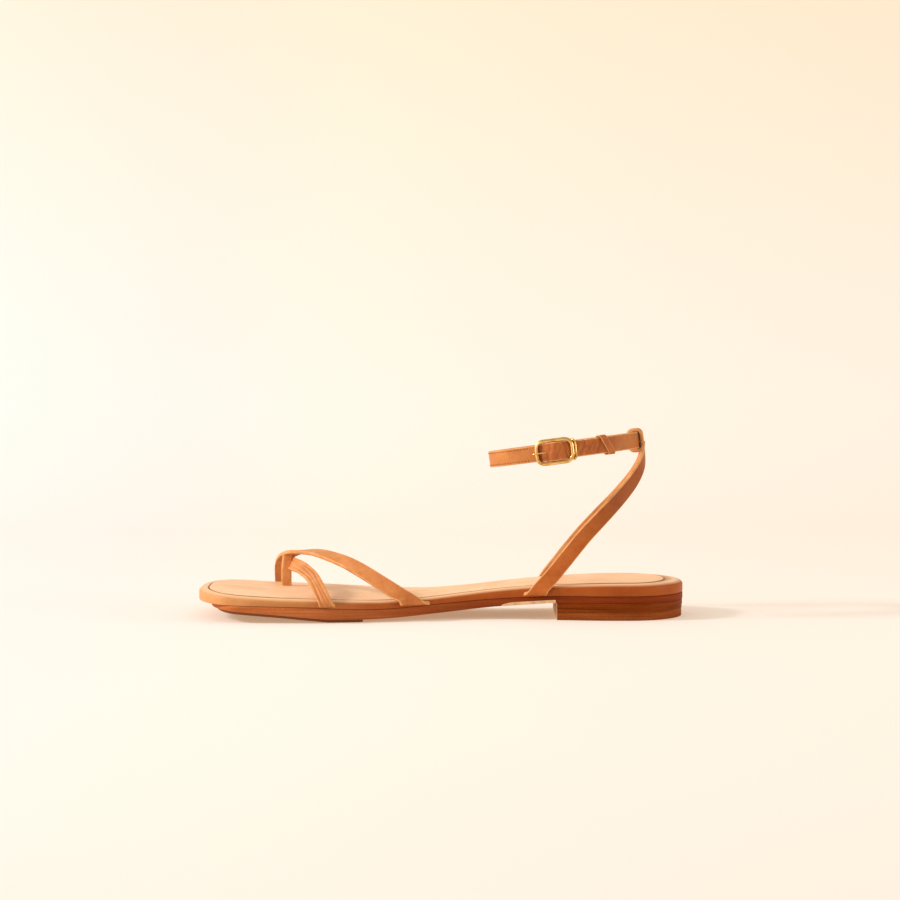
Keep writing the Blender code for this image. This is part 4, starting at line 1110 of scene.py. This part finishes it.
def stitch_row(name, line, ups):
    """Stitches along a line of points, standing out along ups."""
    run = run_of(line)
    places = np.linspace(-1.0, 1.0, len(STITCH_TAPER))
    arch = STITCH_LIFT - STITCH_RADIUS * places ** 2 * STITCH_DIP
    parts = []
    for middle in np.arange(STITCH_PITCH, run[-1] - STITCH_PITCH, STITCH_PITCH):
        at = middle + STITCH_LONG / 2 * places
        spots = np.column_stack([np.interp(at, run, line[:, k]) for k in range(3)])
        up = np.array([np.interp(middle, run, ups[:, k]) for k in range(3)])
        parts.append(tube(spots + up * arch[:, None], STITCH_RADIUS * STITCH_TAPER, around=STITCH_SIDES))
    print(name, len(parts), "stitches")
    return wire_piece(name, parts, THREAD)


sewn = (ankle_along > SEWN_FIRST) & (ankle_along < RING_ROUND - SEWN_LEAD)
face_out = np.cross(np.gradient(ankle_points, axis=0), ankle_sides)
face_out /= np.linalg.norm(face_out, axis=1, keepdims=True)
for name, share in (("ankle_stitches_upper", STITCH_ACROSS), ("ankle_stitches_lower", -STITCH_ACROSS)):
    row = ankle_points[sewn] + ankle_sides[sewn] * share + face_out[sewn] * STRAP_THICK / 2
    dress(stitch_row(name, row, face_out[sewn]), "strap_leather")

# %% [markdown]
# ## Studio
# The sandal stands on one pale sheet of paper that curves up behind it, so there is no horizon. The paper is
# given a little emission, a painted glow that keeps the shadows light and warm, and its colour gets painted
# shade that makes it darker and warmer up the wall and a painted tint that takes a little green out of the
# lamp-lit paper at the left. A strong lamp at the left gives the bright toe and the shadow behind the heel.
# Three weak ones lift the paper at the left, the side of the toe and the back of the heel, and a dim even sky
# fills the rest. The camera repeats the photograph's low side view through a long lens.

# %% Paper sweep
FLOOR_FRONT, FLOOR_BACK, BEND, WALL, HALF_SWEEP = -9000.0, 500.0, 500.0, 1600.0, 9000.0
BEND_STEPS = 24
PAPER_CLOUD, PAPER_SHADE_LOW, PAPER_SHADE_HIGH = 400.0, 80.0, 500.0
# Painted tint for the paper at the left, where the lamps light it most: a little less green.
PAPER_LEFT_PAINTED_TINT, PAPER_LEFT_TINT_REACH = "#FFF8FF", (-50.0, -250.0)
# The emission is a painted glow: the paper is no lamp, and the glow keeps the shadows light and warm.
PAPER, tree, shader = start("back_lit_studio_paper", Roughness=0.9, Specular_IOR_Level=0.0,
                           Emission_Color=paint("#FFD3A8"), Emission_Strength=0.42)
place = add(tree, "ShaderNodeTexCoord").outputs["Object"]
soft = add(tree, "ShaderNodeTexNoise", {"Vector": place, "Scale": cells(PAPER_CLOUD), "Detail": 2.0})
ramp = add(tree, "ShaderNodeValToRGB", {"Fac": soft.outputs["Fac"]},
           tones=((0.0, "#BFC6C9"), (1.0, "#C3CACD")))
# Painted shade: the paper turns darker and warmer up the wall, between the two heights.
apart = add(tree, "ShaderNodeSeparateXYZ", {"Vector": place})
rise = add(tree, "ShaderNodeMapRange", {"Value": apart.outputs["Z"], "From Min": PAPER_SHADE_LOW * MM,
                                        "From Max": PAPER_SHADE_HIGH * MM})
shade = add(tree, "ShaderNodeMixRGB", {"Fac": rise.outputs["Result"], "Color1": ramp.outputs["Color"],
                                       "Color2": paint("#BCBBAF")})
# The painted tint takes a little green out of the lamp-lit paper at the left.
tinted = shaded_along(tree, place, shade.outputs["Color"], PAPER_LEFT_PAINTED_TINT, PAPER_LEFT_TINT_REACH)
tree.links.new(tinted, shader.inputs["Base Color"])
bend = np.radians(np.linspace(0.0, 90.0, BEND_STEPS))
sweep_y = np.concatenate(((FLOOR_FRONT,), FLOOR_BACK + BEND * np.sin(bend), (FLOOR_BACK + BEND,)))
sweep_z = np.concatenate(((0.0,), BEND * (1 - np.cos(bend)), (WALL,)))
count = len(sweep_y)
verts = [(x, y, z) for x in (-HALF_SWEEP, HALF_SWEEP) for y, z in zip(sweep_y, sweep_z)]
faces = [(i, i + 1, count + i + 1, count + i) for i in range(count - 1)]
mesh = bpy.data.meshes.new("paper_sweep")
mesh.from_pydata((np.array(verts) * MM).tolist(), [], faces)
mesh.materials.append(PAPER)
mesh.shade_smooth()
paper = bpy.data.objects.new("paper_sweep", mesh)
bpy.context.scene.collection.objects.link(paper)
print("paper sweep", len(faces), "faces")


# %% Lamps, sky and camera
def lamp(name, spot, target, size, power, colour):
    """A round soft lamp in metres and watts that faces its target."""
    light = bpy.data.lights.new(name, "AREA")
    light.shape = "DISK"
    light.size = size
    light.energy = power
    light.color = paint(colour)[:3]
    made = bpy.data.objects.new(name, light)
    made.location = spot
    made.rotation_euler = (Vector(target) - Vector(spot)).to_track_quat("-Z", "Y").to_euler()
    made.visible_camera = False
    bpy.context.scene.collection.objects.link(made)


lamp("toe_lamp", (-2.0, -0.35, 1.2), (0.0, 0.0, 0.02), 0.45, 45.0, "#FFF5EE")
lamp("wall_lamp", (-1.1, 0.3, 0.5), (-0.5, 1.0, 0.15), 0.7, 1.4, "#FFE0EC")
lamp("front_lamp", (-0.6, -0.6, 0.2), (-0.12, 0.0, 0.01), 0.3, 0.9, "#FFF4E6")
lamp("rim_lamp", (1.2, -0.25, 0.35), (0.1, 0.0, 0.02), 0.4, 4.5, "#FFF4E6")
world = bpy.data.worlds.new("studio_air")
world.use_nodes = True
world.node_tree.nodes["Background"].inputs["Color"].default_value = paint("#FFFDF9")
world.node_tree.nodes["Background"].inputs["Strength"].default_value = 0.64
bpy.context.scene.world = world
bpy.context.scene.view_settings.view_transform = "Standard"

CAMERA_BACK, CAMERA_HIGH, CAMERA_RIGHT, CAMERA_PITCH = 1300.0, 157.8, 4.56, 3.16
PIXELS_PER_MM, PICTURE_WIDE, SENSOR_WIDE = 1.9187, 900, 36.0
CAMERA_LENS = PIXELS_PER_MM * CAMERA_BACK / PICTURE_WIDE * SENSOR_WIDE
eye = bpy.data.cameras.new("side_view")
eye.sensor_width = SENSOR_WIDE
eye.lens = CAMERA_LENS
camera = bpy.data.objects.new("side_view", eye)
camera.location = (np.array((CAMERA_RIGHT, -CAMERA_BACK, CAMERA_HIGH)) + SHIFT) * MM
camera.rotation_euler = (math.radians(90.0 - CAMERA_PITCH), 0.0, 0.0)
bpy.context.scene.collection.objects.link(camera)
bpy.context.scene.camera = camera
print("lens", round(CAMERA_LENS, 1), "mm")
